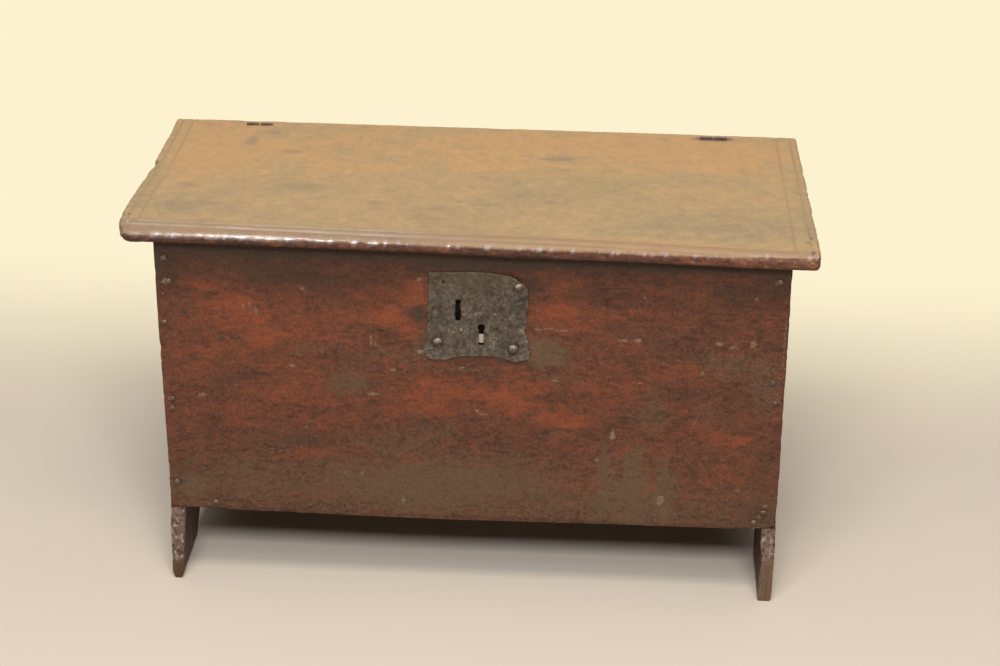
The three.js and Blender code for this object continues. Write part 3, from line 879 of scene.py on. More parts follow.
@dataclass(frozen=True)
class OldIron:
    """Forged iron gone brown, pitted and rubbed.

    Attributes:
        tones: its colours from pits to rubbed metal, in even steps.
        tint: a brown or green bloom over parts of it.
        pit: how deep the pitting is, in millimetres.
        coarse: pits for each metre.
        contrast: how strongly the pitting shows.
        gloss: its roughness.
        shine: how metallic the rubbed places are.
        specular: how strongly the rest reflects.
    """

    tones: tuple[Colour, ...] = (
        (0.014, 0.010, 0.007), (0.038, 0.029, 0.020), (0.074, 0.057, 0.041), (0.118, 0.094, 0.072),
        (0.230, 0.186, 0.148))
    tint: Colour = (0.074, 0.054, 0.031)
    pit: float = 0.5
    coarse: float = 300.0
    contrast: float = 1.0
    gloss: float = 0.5
    shine: float = 0.25
    specular: float = 0.3

    def build(self, name: str) -> bpy.types.Material:
        """Makes the material.

        Args:
            name: its name.

        Returns:
            The material.
        """
        shader = Shader(name)
        patch, bloom, grit, fine, blot = shader.layers(
            (self.coarse,) * 3,
            (0.15, 0.15, 4.0, 0.65, 0.5), (0.09, 0.09, 5.0, 0.7, 0.6), (1.0, 1.0, 4.0, 0.75),
            (3.0, 3.0, 2.0, 0.7), (0.5, 0.5, 3.0, 0.6))
        # Lighter on rubbed iron and on painted highlights, darker on painted shade.
        rub = shader.paint("rub")
        tone = 0.46 + rub * 0.55 + (grit * 1.0 + fine * 0.5 + blot * 0.9 + patch * 0.7) * self.contrast
        colour = shader.ramp(tone, self.tones)
        tinted = (shader.paint("tint") + bloom * 1.6 + grit * 0.8).step(0.1, 0.9)
        colour = shader.mix(tinted * 0.6, colour, self.tint)
        relief = shader.bump(grit + fine * 0.4, self.pit)
        rough = self.gloss + patch * 0.3 + grit * 0.25
        return shader.finish(
            Base_Color=colour, Metallic=(tone - 0.6).step(0.0, 0.5) * self.shine, Roughness=rough,
            Specular_IOR_Level=self.specular, Normal=relief)


# Boards


@dataclass(frozen=True)
class Patch:
    """A soft oval of paint on a face.

    Attributes:
        u: its middle along the board.
        v: its middle across the board.
        half_u: its half length.
        half_v: its half width.
        amount: how strong it is; below zero it takes away.
    """

    u: float
    v: float
    half_u: float
    half_v: float
    amount: float = 1.0

    @classmethod
    def rows(cls, *table: tuple[float, ...]) -> "tuple[Patch, ...]":
        """Makes a patch from each row of its fields."""
        return tuple(cls(*row) for row in table)


@dataclass(frozen=True)
class Flecks(Patch):
    """A scatter of small marks over a patch.

    Attributes:
        amount: how many marks it has.
        radius: a mark's size.
    """

    amount: int = 1
    radius: float = 2.0


def painted(face: Array, patches: Sequence[Patch], warp: Array | float = 0.0) -> Array:
    """Adds soft ovals up.

    Args:
        face: places on the face, one row each.
        patches: the ovals.
        warp: how far each place is shifted, so that edges wander.

    Returns:
        One value for each place.
    """
    shifted, total = face + warp, np.zeros(len(face))
    for p in patches:
        away = ((shifted[:, 0] - p.u) / p.half_u) ** 2 + ((shifted[:, 1] - p.v) / p.half_v) ** 2
        total += p.amount * np.exp(-(away**1.5))
    return total


def flecked(face: Array, scatters: Sequence[Flecks], seed: int) -> Array:
    """Scatters small marks.

    Args:
        face: places on the face, one row each.
        scatters: where the marks lie.
        seed: which draw of them.

    Returns:
        One value from 0 to 1 for each place.
    """
    rng, total = np.random.default_rng(seed), np.zeros(len(face))
    for s in scatters:
        middle = rng.normal(0, 0.5, (s.amount, 2)) * (s.half_u, s.half_v) + (s.u, s.v)
        shape = s.radius * rng.uniform(0.5, 1.5, (s.amount, 2))
        power = rng.uniform(0.35, 1.0, s.amount)
        for (u, v), (ru, rv), p in zip(middle, shape, power):
            near = (np.abs(face[:, 0] - u) < 3 * ru) & (np.abs(face[:, 1] - v) < 3 * rv)
            away = ((face[near, 0] - u) / ru) ** 2 + ((face[near, 1] - v) / rv) ** 2
            total[near] = np.maximum(total[near], p * np.exp(-away))
    return total


@dataclass(frozen=True)
class Lean:
    """How far the old carcase stands out of square, measured up both of its sides.

    Attributes:
        heights: where it was measured, from the floor up.
        left: how far the left side stands to the right of true there.
        right: the same for the right side.
        sides: x of the two sides when they are true.
    """

    heights: tuple[float, ...] = (0.0, 77.0, 106.0, 130.0, 154.0, 310.0, 400.0, 500.0)
    left: tuple[float, ...] = (-2.2, -2.5, -0.3, 1.0, 0.9, -1.4, -3.3, -4.2)
    right: tuple[float, ...] = (4.0, 4.5, 3.8, 3.6, 2.6, 1.0, 0.6, 0.0)
    sides: tuple[float, float] = (-406.5, 419.5)

    def apply(self, shell: Shell) -> None:
        """Moves a shell out of square.

        Args:
            shell: the board's surface.
        """
        share = (shell.points[:, 0] - self.sides[0]) / (self.sides[1] - self.sides[0])
        left = np.interp(shell.points[:, 2], self.heights, self.left)
        right = np.interp(shell.points[:, 2], self.heights, self.right)
        shell.points[:, 0] += left + (right - left) * share


def dress(piece: bpy.types.Object, body: Body, slot: Slot, *nodes: str) -> None:
    """Puts a piece on its body in place of its solids.

    Args:
        piece: the finished piece.
        body: what it rides on.
        slot: the record's slot of its finish; not used.
        nodes: the solids that it stands for.
    """
    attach(piece, body.value)
    if nodes:
        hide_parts(*nodes)
    count = sum(len(p.vertices) - 2 for p in piece.data.polygons)
    log.info("%s: %d triangles on %s", piece.name, count, body.value)


@dataclass
class Lid:
    """The lid: one wide board with a moulded nose on three sides and two scratched lines.

    Attributes:
        length: along x.
        depth: along y.
        thick: its thickness.
        under: height of its underside.
        corner: radius of the front left and front right corners in plan.
        nose: how far in the front edge's moulding reaches, and how far it falls.
        end_nose: radius of the end edges' upper round.
        ease: radius of the lower round.
        bulge: how far the left end stands out near the front.
        twist: how far the front left and front right corners stand above true.
        front_lines: how far the scratched lines lie from the front.
        stray: how fast these run towards the front on their way to the right.
        left_lines: how far they lie from the left end.
        right_lines: how far they lie from the right end.
        line_width: half the width of a line.
        line_depth: its depth.
        notch: the notch in the left end: distance from the front, depth, and its two lengths.
        notch_in: how far in from the end that reaches.
        flare: how far the left end stands out along its whole length.
        hang: how far the underside hangs lower along the front's right half.
        curl: how far the back edge stands up.
        step: widest spacing of the net.
    """

    length: float = 900.0
    depth: float = 423.0
    thick: float = 20.0
    under: float = 515.0
    corner: tuple[float, float] = (16.0, 9.0)
    nose: tuple[float, float] = (24.0, 13.0)
    end_nose: float = 5.0
    ease: float = 4.0
    bulge: float = 4.6
    twist: tuple[float, float] = (2.4, -4.2)
    front_lines: tuple[float, float] = (10.0, 21.5)
    stray: float = 0.0175
    left_lines: tuple[float, float] = (11.0, 25.0)
    right_lines: tuple[float, float] = (11.0, 31.0)
    line_width: float = 2.8
    line_depth: float = 1.1
    notch: tuple[float, float, float, float] = (249.0, 6.0, 7.0, 36.0)
    notch_in: float = 9.0
    flare: float = 2.4
    hang: float = 2.2
    curl: float = 1.1
    step: float = 3.4

    STAINS = Patch.rows(
        (-330, 130, 11, 24), (-312, 165, 22, 12, 0.5), (-268, 93, 16, 9), (-390, 190, 22, 14, 0.6),
        (-300, 175, 14, 18, 0.5), (112, 97, 27, 9, 1.25), (90, 94, 16, 5, 0.8), (115, 53, 22, 7, 0.7),
        (-390, -48, 18, 14, 0.8), (-235, -42, 45, 16, 0.75), (-330, -28, 10, 14, 0.5),
        (-130, -92, 12, 9, 0.8), (-205, -84, 20, 10, 0.5), (-110, -30, 12, 14, 0.4), (-21, -77, 7, 6, 1.1),
        (-6, -22, 4, 5), (-20, -160, 30, 12, 0.6), (-55, 40, 14, 10, 0.5), (170, 18, 9, 12, 0.5),
        (200, -146, 14, 10, 0.6), (360, -95, 34, 14, 0.5), (275, 108, 8, 20, 0.3), (-250, 195, 60, 12, 0.4),
        (-75, 195, 60, 14, 0.4),
    )
    GREENS = Patch.rows(
        (-365, -128, 55, 28, 0.9), (-40, -128, 50, 34, 0.8), (20, -88, 30, 22, 0.7),
        (330, -130, 120, 50, 0.9), (90, -40, 70, 50, 0.6), (190, 0, 60, 40, 0.5), (-120, 140, 60, 40, 0.35),
        (200, -150, 60, 30, 0.5), (-250, -50, 80, 30, 0.5), (-220, 180, 120, 20, 0.3),
        (-60, 190, 60, 20, 0.5), (-440, 10, 13, 190, 0.9), (442, 0, 10, 170, 0.6), (-420, 150, 20, 60, 0.4),
    )
    WARMS = Patch.rows(
        (-400, 110, 90, 90, 0.6), (-380, 60, 60, 30, 0.5), (-60, 130, 130, 70, 0.5), (50, 165, 80, 30, 0.7),
        (60, 60, 90, 30, 0.4), (250, 130, 150, 60, 0.5), (-160, 30, 60, 20, 0.5), (-400, 0, 50, 50, 0.4),
        (330, 90, 40, 50, 0.5), (-100, -110, 260, 60, 0.1), (-250, 110, 60, 50, 0.3),
    )
    HINGE_SOOT = Patch.rows(
        (-341, 198, 8, 8, 1.2), (-320, 200, 8, 8, 1.1), (-331, 203, 26, 6, 0.5), (328, 197, 34, 11, 1.5),
        (310, 200, 10, 8, 0.4), (350, 199, 12, 8, 0.6),
    )
    CRACKS = (
        (-430, -77, -330, -78, 1.0), (-330, -78, -240, -77, 1.3), (-240, -77, -150, -80, 1.1),
        (-150, -80, -30, -94, 0.9, 0.8), (-80, 55, -76, 30, 0.8, 0.6),
    )

    def _frame_lines(self, face: Array) -> Array:
        """How far places on the face lie from the nearest scratched line.

        Args:
            face: places before the corners are rounded.

        Returns:
            One distance for each place.
        """
        half, front, lines = self.length / 2, -self.depth / 2, []
        for inset, left, right in zip(self.front_lines, self.left_lines, self.right_lines):
            a, b = ((u, front + inset - self.stray * u) for u in (-half + left, half - right))
            lines += [((a[0], -front), a), (a, b), (b, (b[0], -front))]
        return to_lines(face, lines)

    def _rounded(self, face: Array) -> Array:
        """Rounds the front corners in plan.

        Args:
            face: places on a square-cornered face.

        Returns:
            The same places, drawn in at the corners.
        """
        out = face.copy()
        for side, r in zip((-1, 1), self.corner):
            middle = np.array([side * (self.length / 2 - r), -self.depth / 2 + r])
            away = (face - middle) * (side, -1) / r
            at = (away > 0).all(1)
            a, b = away[at].T
            bent = np.stack([a * np.sqrt(1 - b * b / 2), b * np.sqrt(1 - a * a / 2)], 1)
            out[at] = middle + bent * (side, -1) * r
        return out

    def _drawn_in(self, loop: Array, inset: float) -> Array:
        """Draws the outline in for the lower round, except along the back.

        Args:
            loop: the outline.
            inset: how far.

        Returns:
            The smaller outline.
        """
        out = loop.copy()
        half, front = self.length / 2, -self.depth / 2
        out[:, 0] = np.clip(out[:, 0], -half + inset, half - inset)
        out[:, 1] = np.maximum(out[:, 1], front + inset)
        for side, r in zip((-1, 1), self.corner):
            middle = np.array([side * (half - r), front + r])
            at = ((loop - middle) * (side, -1) > 0).all(1)
            out[at] = middle + (loop[at] - middle) * (r - inset) / r
        return out

    def _shell(self) -> tuple[Shell, Array]:
        """Builds the closed surface.

        Returns:
            The surface, and each point's place on the face before the corners were rounded.
        """
        half, front, spread = self.length / 2, -self.depth / 2, self.line_width
        beside = (-2.2 * spread, -spread, -spread / 2, 0, spread / 2, spread, 2.2 * spread)
        extra_u = [s * (half - i) + b for s, lines in ((-1, self.left_lines), (1, self.right_lines))
                   for i in lines for b in beside]
        extra_v = [front + i + b for i in self.front_lines for b in beside]
        us = graded(-half, half, self.step, self.end_nose, extra_u)
        reach, deep = self.nose
        vs = graded(front, -front, self.step, reach, extra_v)
        sheet = Sheet.grid(us, vs)
        near_lines = np.interp(sheet.points[:, 1] - front, (0, 10, 32, 92), (0, 1, 1, 0))
        sheet.points[:, 1] -= self.stray * sheet.points[:, 0] * near_lines
        u, v = sheet.points.T
        sides = np.minimum(u + half, half - u)
        rise_end = 1 - round_drop(sides, self.end_nose) / self.end_nose
        rise_front = 1 - round_drop(v - front, reach) / reach
        top = -deep * (1 - rise_front) - self.end_nose * (1 - rise_end) * rise_front
        top -= round_drop(-front - v, 0.6)
        loop = ordered(sheet.border())
        rim = self._rounded(sheet.points)[loop]
        walls, low = [], -self.thick + self.ease
        for share in (0.35, 0.7):
            walls.append(np.column_stack([rim, top[loop] + (low - top[loop]) * share]))
        for turn in (0.0, 0.5, 0.8):
            inset = self.ease * (1 - math.cos(turn * math.pi / 2))
            fall = -self.thick + self.ease * (1 - math.sin(turn * math.pi / 2))
            walls.append(np.column_stack([self._drawn_in(rim, inset), np.full(len(loop), fall)]))
        upper = np.column_stack([self._rounded(sheet.points), top])
        last = self._drawn_in(rim, self.ease * 0.98)
        local, faces = closed(sheet, upper, [*walls, last], 14.0, -self.thick)
        faces = [list(dict.fromkeys(f)) for f in faces]
        faces = [f for f in faces if len(f) > 2]
        known = [sheet.points, *[sheet.points[loop]] * len(walls)]
        flat = np.concatenate([*known, local[sum(map(len, known)):, :2]])
        arris = np.minimum(np.abs(local[:, 2]) + 4, from_edges(flat, -half, half, front, math.inf))
        setting = Setting((0, 0, self.under + self.thick), (1, 0, 0), (0, 1, 0), (0, 0, 1))
        return Shell(setting.place(local), faces, np.maximum(arris, 0)), flat

    def build(self) -> None:
        """Makes the lid and puts it on its body."""
        shell, face = self._shell()
        half, front = self.length / 2, -self.depth / 2
        place, top = shell.points.copy(), shell.points[:, 2] > self.under + self.thick / 2
        (u, v), (x, _, z) = face.T, place.T
        wave, chip = Noise(3), Noise(4)
        away = self._frame_lines(face)
        depth = self.line_depth * (0.75 + 0.35 * wave.at(place, (60, 60, 60), 2))
        groove = np.where(top, depth * np.clip(1 - away / self.line_width, 0, 1), 0)
        hollow = 0.5 * wave.at(place, (260, 90, 90), 2) + 0.12 * wave.at(place, (40, 18, 18), 2)
        edge = smooth(-shell.arris, -9.0, 0.0)
        chips = np.maximum(chip.at(place, (18, 16, 9), 3) - 0.3, 0) * 2.2 * edge
        back, lumpy = smooth(v, -front - 8, -front), smooth(front + 14 - v, 0, 8)
        beads = np.where(top, 0.4 * np.clip(1 - (away - 7) ** 2 / 49, 0, 1) * (v < front + 27), 0)
        lumps = 0.45 * chip.at(place, (13, 12, 8), 2) * np.maximum(lumpy, 0.6 * edge)
        shell.push(hollow * 0.6 + beads + lumps - groove - chips * (1 - back)
                   - back * np.maximum(chip.at(place, (30, 9, 9), 2) - 0.2, 0) * 0.8)
        shell.points[:, 0] += self._notch_share(face) * self.notch[1]
        out = smooth(-v, -40, 150) * smooth(-u, 300, half) * self.bulge
        settle = smooth(v, front, front + 44)
        shell.points[:, 0] -= out * (0.1 + 0.9 * settle) + self.flare * smooth(-u, 380, half) * settle
        shell.points[:, 0] += smooth(u, 380, half) * (
            1.4 - 3.2 * smooth(v, -60, 200) + 1.5 * smooth(-v, 95, 135))
        thick_nose = smooth(-v, -front - 18, -front - 11) * smooth(u, -60, 90)
        shell.points[:, 2] -= np.where(z < self.under + 6, self.hang * thick_nose, 0)
        shell.points[:, 2] += self.curl * smooth(v, 150, 205)
        dents = painted(face, self.HINGE_SOOT)
        shell.points[:, 2] -= np.where(top, dents * 0.6, 0)
        raised, fallen = self.twist
        shell.points[:, 2] += raised * smooth(-u, -50, 400) * smooth(-v, -60, -front)
        shell.points[:, 2] += fallen * smooth(u, 120, half) * smooth(-v, -100, -front)
        warp = np.stack([wave.at(place, (40, 25, 25), 3), chip.at(place, (40, 25, 25), 3)], 1)
        fall = self.under + self.thick - z
        nose = smooth(front + 16 - v, 0, 6)
        dark_from = np.interp(x, (-450, -295, -130, 50, 195, 315, 385, 450),
                              (10.0, 9.0, 8.4, 9.5, 10.7, 9.2, 6.4, 5.8))
        leftmost = smooth(-u, 120, 280)
        brow = bell(fall - dark_from + 0.8 - 0.6 * leftmost, 2.2) * nose
        leftward = smooth(-u, -70, 120)
        side = smooth(-shell.arris, -5, -1)
        line = np.clip(groove / self.line_depth, 0, 1)
        # On the left near the front, a highlight is painted in the scratched lines in place of their darker
        # colour.
        line_glint_zone = (v < front + 34) * leftward
        sparks = smooth(chip.at(place, (4, 14, 14), 3), 0.25, 0.55)
        strip = smooth(front + 32 - 0.02 * u - v, 0, 14)
        ends = smooth(np.abs(u), half - 38, half - 14) * (0.3 + 0.7 * smooth(-v, 20, 150))
        shell.paints = {
            "warm": 0.22 + painted(face, self.WARMS, warp * 12) + 0.0015 * (v + 60)
            + 0.5 * smooth(front + 40 - v, 0, 12) * smooth(u, -100, 300),
            "green": painted(face, self.GREENS, warp * 12) - 0.1,
            "stain": painted(face, self.STAINS, warp * 4),
            # Iron stain and dirt, and painted shade in the worn notch.
            "soot": np.where(top, dents, 0) * 0.6 + self._notch_share(face) + ends * top
            * np.maximum(chip.at(place, (7, 9, 9), 2) + 0.05, 0),
            "seam": line * (1 - 0.7 * line_glint_zone),
            "nose": np.maximum(
                nose * (0.05 + 1.1 * smooth(fall, dark_from - 2.2, dark_from + 2.2)), side * 0.5),
            "ledge": strip * (0.60 - 0.15 * leftward) + 0.40 * nose * leftward * smooth(fall, 0.5, 3.0),
            # Lighter towards the right end, darker towards the nose's lower edge.
            "bare": 0.45 * smooth(u, 120, 420) - 0.35 * smooth(fall, 11, 16)
            + 0.4 * wave.at(place, (30, 30, 30), 2),
            "polish": 0.06 * leftward * smooth(front + 44 - v, 0, 14)
            + brow * (0.10 + 0.30 * leftward + 0.5 * leftmost + 0.3 * sparks),
            # A painted highlight along the nose's brow and in the scratched lines near the front.
            "glint": line * line_glint_zone * 0.75 + brow * (
                0.55 * sparks + 0.3 * leftmost * (1.0 + wave.at(place, (16, 9, 9), 2))),
            "under": 1 - smooth(z - self.under, 0.5, 4.0),
        }
        height = self.under + self.thick
        cracks = tuple(Stroke((a, b, height), (c, d, height), *rest) for a, b, c, d, *rest in self.CRACKS)
        finish = FadedOak(cracks=cracks).build("oak_faded")
        dress(shell.to_piece("lid_top_board", finish), Body.LID, Slot.LID_OAK, "lid_board")

    def _notch_share(self, face: Array) -> Array:
        """How deep places lie in the worn notch.

        Args:
            face: each point's place on the face.

        Returns:
            1 at its deepest and 0 outside it.
        """
        from_front, _, short, long = self.notch
        run = face[:, 1] + self.depth / 2 - from_front
        share = np.clip(np.where(run > 0, 1 - run / short, 1 + run / long), 0, 1)
        return share * np.clip(1 - (face[:, 0] + self.length / 2) / self.notch_in, 0, 1)


@dataclass
class Carcase:
    """The five boards of the body.

    Attributes:
        left: x of the left side.
        right: x of the right side.
        front: y of the front.
        back: y of the back.
        top: height of the boards' top.
        low: height of the front and back boards' lower edge.
        thick: thickness of a board.
        lean: how the carcase is racked.
    """

    left: float = -406.5
    right: float = 419.5
    front: float = FRONT_FACE
    back: float = 187.5
    top: float = 514.7
    low: float = 117.0
    thick: float = 20.0
    lean: Lean = field(default_factory=Lean)

    def build(self) -> None:
        """Makes all five boards."""
        FrontBoard(self).build()
        BackBoard(self).build()
        BottomBoard(self).build()
        for side in Side:
            EndBoard(self, side).build()


class Side(Enum):
    """Which end of the chest, as the way along x that it faces."""

    LEFT = -1
    RIGHT = 1


@dataclass
class FrontBoard:
    """The front board, with its old finish, its wear and the pocket for the lock.

    Attributes:
        carcase: the body that it belongs to.
        step: widest spacing of the net.
        edge: radius of its arrises.
        hollow: the dip in its top edge: middle, half length and depth.
        worn: the worn lower right corner: length and height.
        pocket: the lock's pocket: left, right, low and high.
        pocket_depth: how deep that is.
        fallen: how far the top's right end has dropped.
        sags: how far the lower edge hangs: along its length, near the middle and at the left corner.
    """

    carcase: Carcase
    step: float = 2.1
    edge: float = 1.6
    hollow: tuple[float, float, float] = (-17.0, 22.0, 4.0)
    worn: tuple[float, float] = (24.0, 7.0)
    pocket: tuple[float, float, float, float] = (-27.5, 54.5, 376.0, 448.0)
    pocket_depth: float = 12.0
    fallen: float = 3.9
    sags: tuple[float, float, float] = (1.8, 2.6, 1.6)

    REDS = Patch.rows(
        (-300, 395, 75, 45, 0.9), (-285, 392, 35, 22, 0.8), (-320, 425, 35, 18, 0.5),
        (-330, 462, 40, 10, 0.7), (-250, 450, 60, 12, 0.1), (-230, 400, 60, 14, 0.5),
        (-120, 412, 50, 18, 0.8), (-140, 405, 22, 22, 0.5), (-68, 452, 16, 11, 1.3), (-76, 392, 18, 12),
        (-120, 440, 60, 20, 0.4), (-95, 460, 30, 10, 0.4), (-180, 380, 60, 25, 0.4), (-250, 345, 45, 10, 0.6),
        (-365, 345, 22, 10, 0.6), (-240, 312, 70, 16, 0.6), (-250, 275, 80, 25, 0.5),
        (-180, 262, 60, 12, 0.4), (-60, 305, 60, 22, 0.9), (30, 320, 60, 22), (60, 300, 60, 22, 0.8),
        (-40, 280, 80, 10, 0.6), (125, 460, 34, 32), (110, 440, 24, 20, 0.5), (205, 432, 32, 4, 0.9),
        (180, 425, 30, 12, 0.4), (150, 480, 60, 12, 0.5), (135, 415, 50, 12, 0.5), (200, 375, 30, 16, 0.5),
        (170, 390, 50, 14, 0.4), (190, 312, 40, 24, 0.7), (130, 275, 45, 18, 0.7), (222, 250, 16, 18, 0.8),
        (345, 250, 45, 16, 0.8), (245, 180, 12, 26, 0.9), (270, 347, 50, 12, 0.5), (365, 408, 22, 10, 0.5),
        (300, 470, 110, 14, 0.3), (260, 452, 60, 14, 0.3), (320, 195, 50, 25, 0.5), (300, 160, 50, 14, 0.4),
        (150, 180, 50, 16, 0.3), (-90, 205, 8, 6, 0.8), (-75, 207, 6, 8, 0.7), (-210, 208, 20, 8, 0.7),
        (-140, 490, 200, 8, 0.3), (-380, 300, 60, 60, 0.1), (340, 140, 30, 12, 0.4),
    )
    DARKS = Patch.rows(
        (-395, 480, 16, 50, 0.7), (-372, 400, 26, 60, 0.45), (-390, 330, 14, 90, 0.2),
        (-325, 313, 26, 15, 0.9), (-290, 318, 26, 10, 0.5), (-300, 270, 20, 20, 0.3),
        (-240, 238, 70, 10, 0.55), (-208, 225, 32, 13, 0.8), (-270, 225, 50, 14, 0.5),
        (-62, 262, 24, 14, 0.7), (-185, 250, 30, 14, 0.5), (-135, 250, 30, 14, 0.6), (-170, 312, 26, 20, 0.4),
        (-210, 290, 30, 12, 0.3), (-240, 460, 60, 30, 0.35), (-180, 450, 40, 30, 0.4),
        (-270, 480, 110, 20, 0.35), (-350, 245, 30, 40, 0.3), (-385, 178, 20, 20, 0.5),
        (-394, 155, 9, 6, 1.2), (-370, 160, 60, 40, 0.2), (205, 412, 12, 10, 0.9), (215, 395, 60, 10, 0.55),
        (265, 378, 40, 14, 0.6), (140, 366, 30, 8, 0.4), (280, 318, 42, 13, 0.7), (355, 325, 14, 16, 0.6),
        (345, 465, 32, 12, 0.7), (300, 440, 100, 16, 0.35), (395, 250, 26, 80, 0.4), (392, 140, 32, 14),
        (400, 200, 16, 40, 0.5), (150, 238, 50, 8, 0.5), (140, 258, 40, 5, 0.6), (65, 232, 34, 18, 0.5),
        (135, 218, 26, 8, 0.5), (120, 318, 18, 24, 0.4), (300, 202, 7, 7, 1.4), (-175, 373.5, 4, 3.5, 2.2),
        # From here on, rows (15, 497), (-60, 505) and (250, 503) are painted shade under the lid, and (85,
        # 470), (62, 357), (-40, 356) and (10, 361) are painted shadow beside and under the plate.
        (-378, 412, 7, 3.5, 1.5), (-330, 373, 5, 8, 0.9), (-69, 425, 12, 17, 2.2), (15, 497, 90, 10, 0.9),
        (-60, 482, 9, 8, 1.1), (-60, 382, 7, 8, 0.9), (85, 470, 9, 22, 0.7), (62, 357, 22, 3, 1.2),
        (-40, 356, 18, 2.5), (10, 361, 34, 2.5, 1.1), (-327, 372, 3, 5), (300, 395, 60, 12, 0.3),
        (0, 480, 60, 20, 0.3), (-60, 505, 340, 8, 0.6), (250, 503, 200, 10, 0.6), (395, 478, 18, 22, 0.6),
        (390, 345, 26, 30, 0.35), (-150, 215, 40, 10, 0.35), (330, 300, 60, 20, 0.3),
    )
    OLIVES = Patch.rows(
        (0, 150, 420, 42, 0.35), (105, 368, 30, 16, 1.2), (95, 385, 16, 12, 0.7), (-160, 318, 26, 20, 0.8),
        (-110, 355, 60, 14, 0.4), (-205, 372, 30, 14, 0.5), (185, 190, 14, 60, 0.7), (225, 180, 14, 70, 0.8),
        (265, 170, 14, 60, 0.7), (-373, 150, 26, 12, 0.9), (-100, 230, 60, 20, 0.5), (40, 190, 80, 40, 0.4),
        (-50, 170, 80, 40, 0.5), (245, 290, 20, 40, 0.5), (395, 330, 22, 30, 0.7), (350, 365, 50, 16, 0.6),
        (-300, 180, 60, 30, 0.2), (-60, 380, 14, 20, 0.5), (120, 330, 24, 14, 0.5), (20, 345, 60, 8, 0.5),
        (-150, 180, 70, 30, 0.3), (-40, 250, 40, 20, 0.4), (330, 285, 30, 20, 0.3), (-30, 492, 60, 6, 0.5),
    )
    PALES = Patch.rows(
        # The first three rows, crossed at (-393, 455), are a painted star-shaped glint round a nail head.
        (-393, 455, 4, 4, 1.3), (-393, 455, 9, 1.6, 0.9), (-393, 455, 1.6, 9, 0.8), (-398, 437, 3, 2, 0.8),
        (-400, 490, 2.5, 6, 0.5), (-214, 452, 5, 4, 0.8), (-292, 422, 3, 8, 0.7), (-284, 427, 2.5, 6, 0.7),
        (-276, 420, 3, 7, 0.8), (-125, 380, 2, 9, 0.9), (-120, 376, 2, 6, 0.8), (-130, 386, 5, 2, 0.5),
        (-98, 338, 6, 3, 0.9), (-232, 339, 7, 3, 1.1), (-355, 290, 7, 3, 0.9), (-125, 302, 13, 3, 0.8),
        (-397, 283, 5, 4, 0.9), (-395, 270, 2, 6, 0.7), (-386, 303, 4, 3, 0.6), (195, 252, 4, 7, 1.2),
        (196, 262, 2, 6, 0.7), (174, 214, 4, 2.5, 0.9), (263, 158, 7, 7, 0.8), (260, 150, 4, 5, 0.7),
        (232, 455, 2, 3, 1.2), (375, 458, 2, 3, 1.1), (117, 331, 6, 3, 0.9), (14, 281, 3, 2.5, 1.1),
        (24, 276, 10, 2, 0.8), (205, 393, 12, 2.5, 0.9), (224, 392, 5, 4, 0.9), (330, 394, 7, 3.5),
        (375, 394, 4, 6, 0.9), (350, 389, 8, 4, 0.7), (311, 349, 3, 5, 0.8), (-88, 140, 3, 8, 0.8),
        (-142, 182, 3, 5, 0.7), (-165, 181, 3, 4, 0.6), (403, 152, 5, 3, 0.8), (395, 136, 4, 3, 0.9),
        (365, 175, 4, 3, 0.8), (-60, 366, 8, 3), (-51, 372, 3, 6, 0.8), (-62, 469, 5, 3),
        (-57, 459, 3, 5, 0.7), (-67, 446, 3, 2, 0.8), (-6, 346, 6, 2.5, 0.8), (-10, 342, 3, 2, 0.7),
        (-216, 248, 3, 5, 0.6), (228, 331, 4, 2, 0.8), (416, 400, 2.5, 80, 0.5), (400, 482, 4, 5, 0.8),
        (-292, 146, 6, 2.5, 0.4), (-265, 212, 24, 1.8, 0.4),
    )
    FLECKED = Patch.rows(
        (300, 385, 150, 45, 0.6), (382, 330, 45, 60, 0.7), (230, 180, 130, 60, 0.55),
        (-285, 420, 26, 14, 0.7), (-80, 190, 180, 50, 0.4), (-325, 315, 60, 35, 0.45), (0, 340, 130, 40, 0.3),
        (-395, 300, 20, 160, 0.45), (405, 250, 20, 160, 0.5), (0, 128, 400, 14, 0.45),
        (-55, 372, 16, 14, 0.9), (84, 385, 14, 30, 0.7), (20, 487, 50, 8, 0.8), (150, 470, 60, 30, 0.25),
        (-130, 378, 22, 14, 0.5),
    )
    SCATTER = Flecks.rows(
        (300, 400, 150, 60, 60, 1.6), (330, 370, 120, 50, 50, 1.7), (380, 350, 45, 50, 45, 1.8),
        (240, 300, 200, 90, 50, 1.4), (390, 200, 40, 140, 45, 1.6), (260, 180, 150, 60, 50, 1.6),
        (-80, 190, 160, 60, 60, 1.5), (-300, 310, 80, 40, 30, 1.6), (-285, 422, 26, 14, 9, 2.2),
        (0, 300, 400, 180, 120, 1.1), (413, 380, 5, 120, 30, 1.8), (-402, 330, 5, 170, 26, 1.7),
        (-283, 411, 15, 10, 34, 1.2), (-66, 371, 8, 6, 12, 1.3), (88, 396, 3, 14, 14, 1.3),
        (-80, 447, 8, 12, 8, 1.4), (60, 480, 60, 10, 14, 1.4), (300, 440, 120, 30, 30, 1.3),
        (0, 124, 400, 8, 40, 1.5),
    )
    SCRATCHES = scored(
        (88, 404, 97, 404, 1.6, 0.9), (101, 406, 112, 406, 1.8), (116, 404, 131, 404, 1.8),
        (-284, 213, -264, 207, 1.4, 0.7), (-264, 207, -233, 214, 1.3, 0.7), (302, 268, 310, 289, 1.5, 0.8),
        (258, 363, 266, 359, 1.2, 0.8), (-200, 253, -193, 248, 1.2, 0.6),
    )
    SHAKES = scored(
        (165, 465, 208, 467, 1.1), (316, 480, 345, 480, 1.0, 0.9), (-258, 391, -236, 390, 1.2, 0.7),
        (-226, 372, -180, 378, 1.0, 0.4), (110, 259, 140, 257, 1.2, 0.6), (-205, 390, -160, 391, 1.0, 0.4),
    )

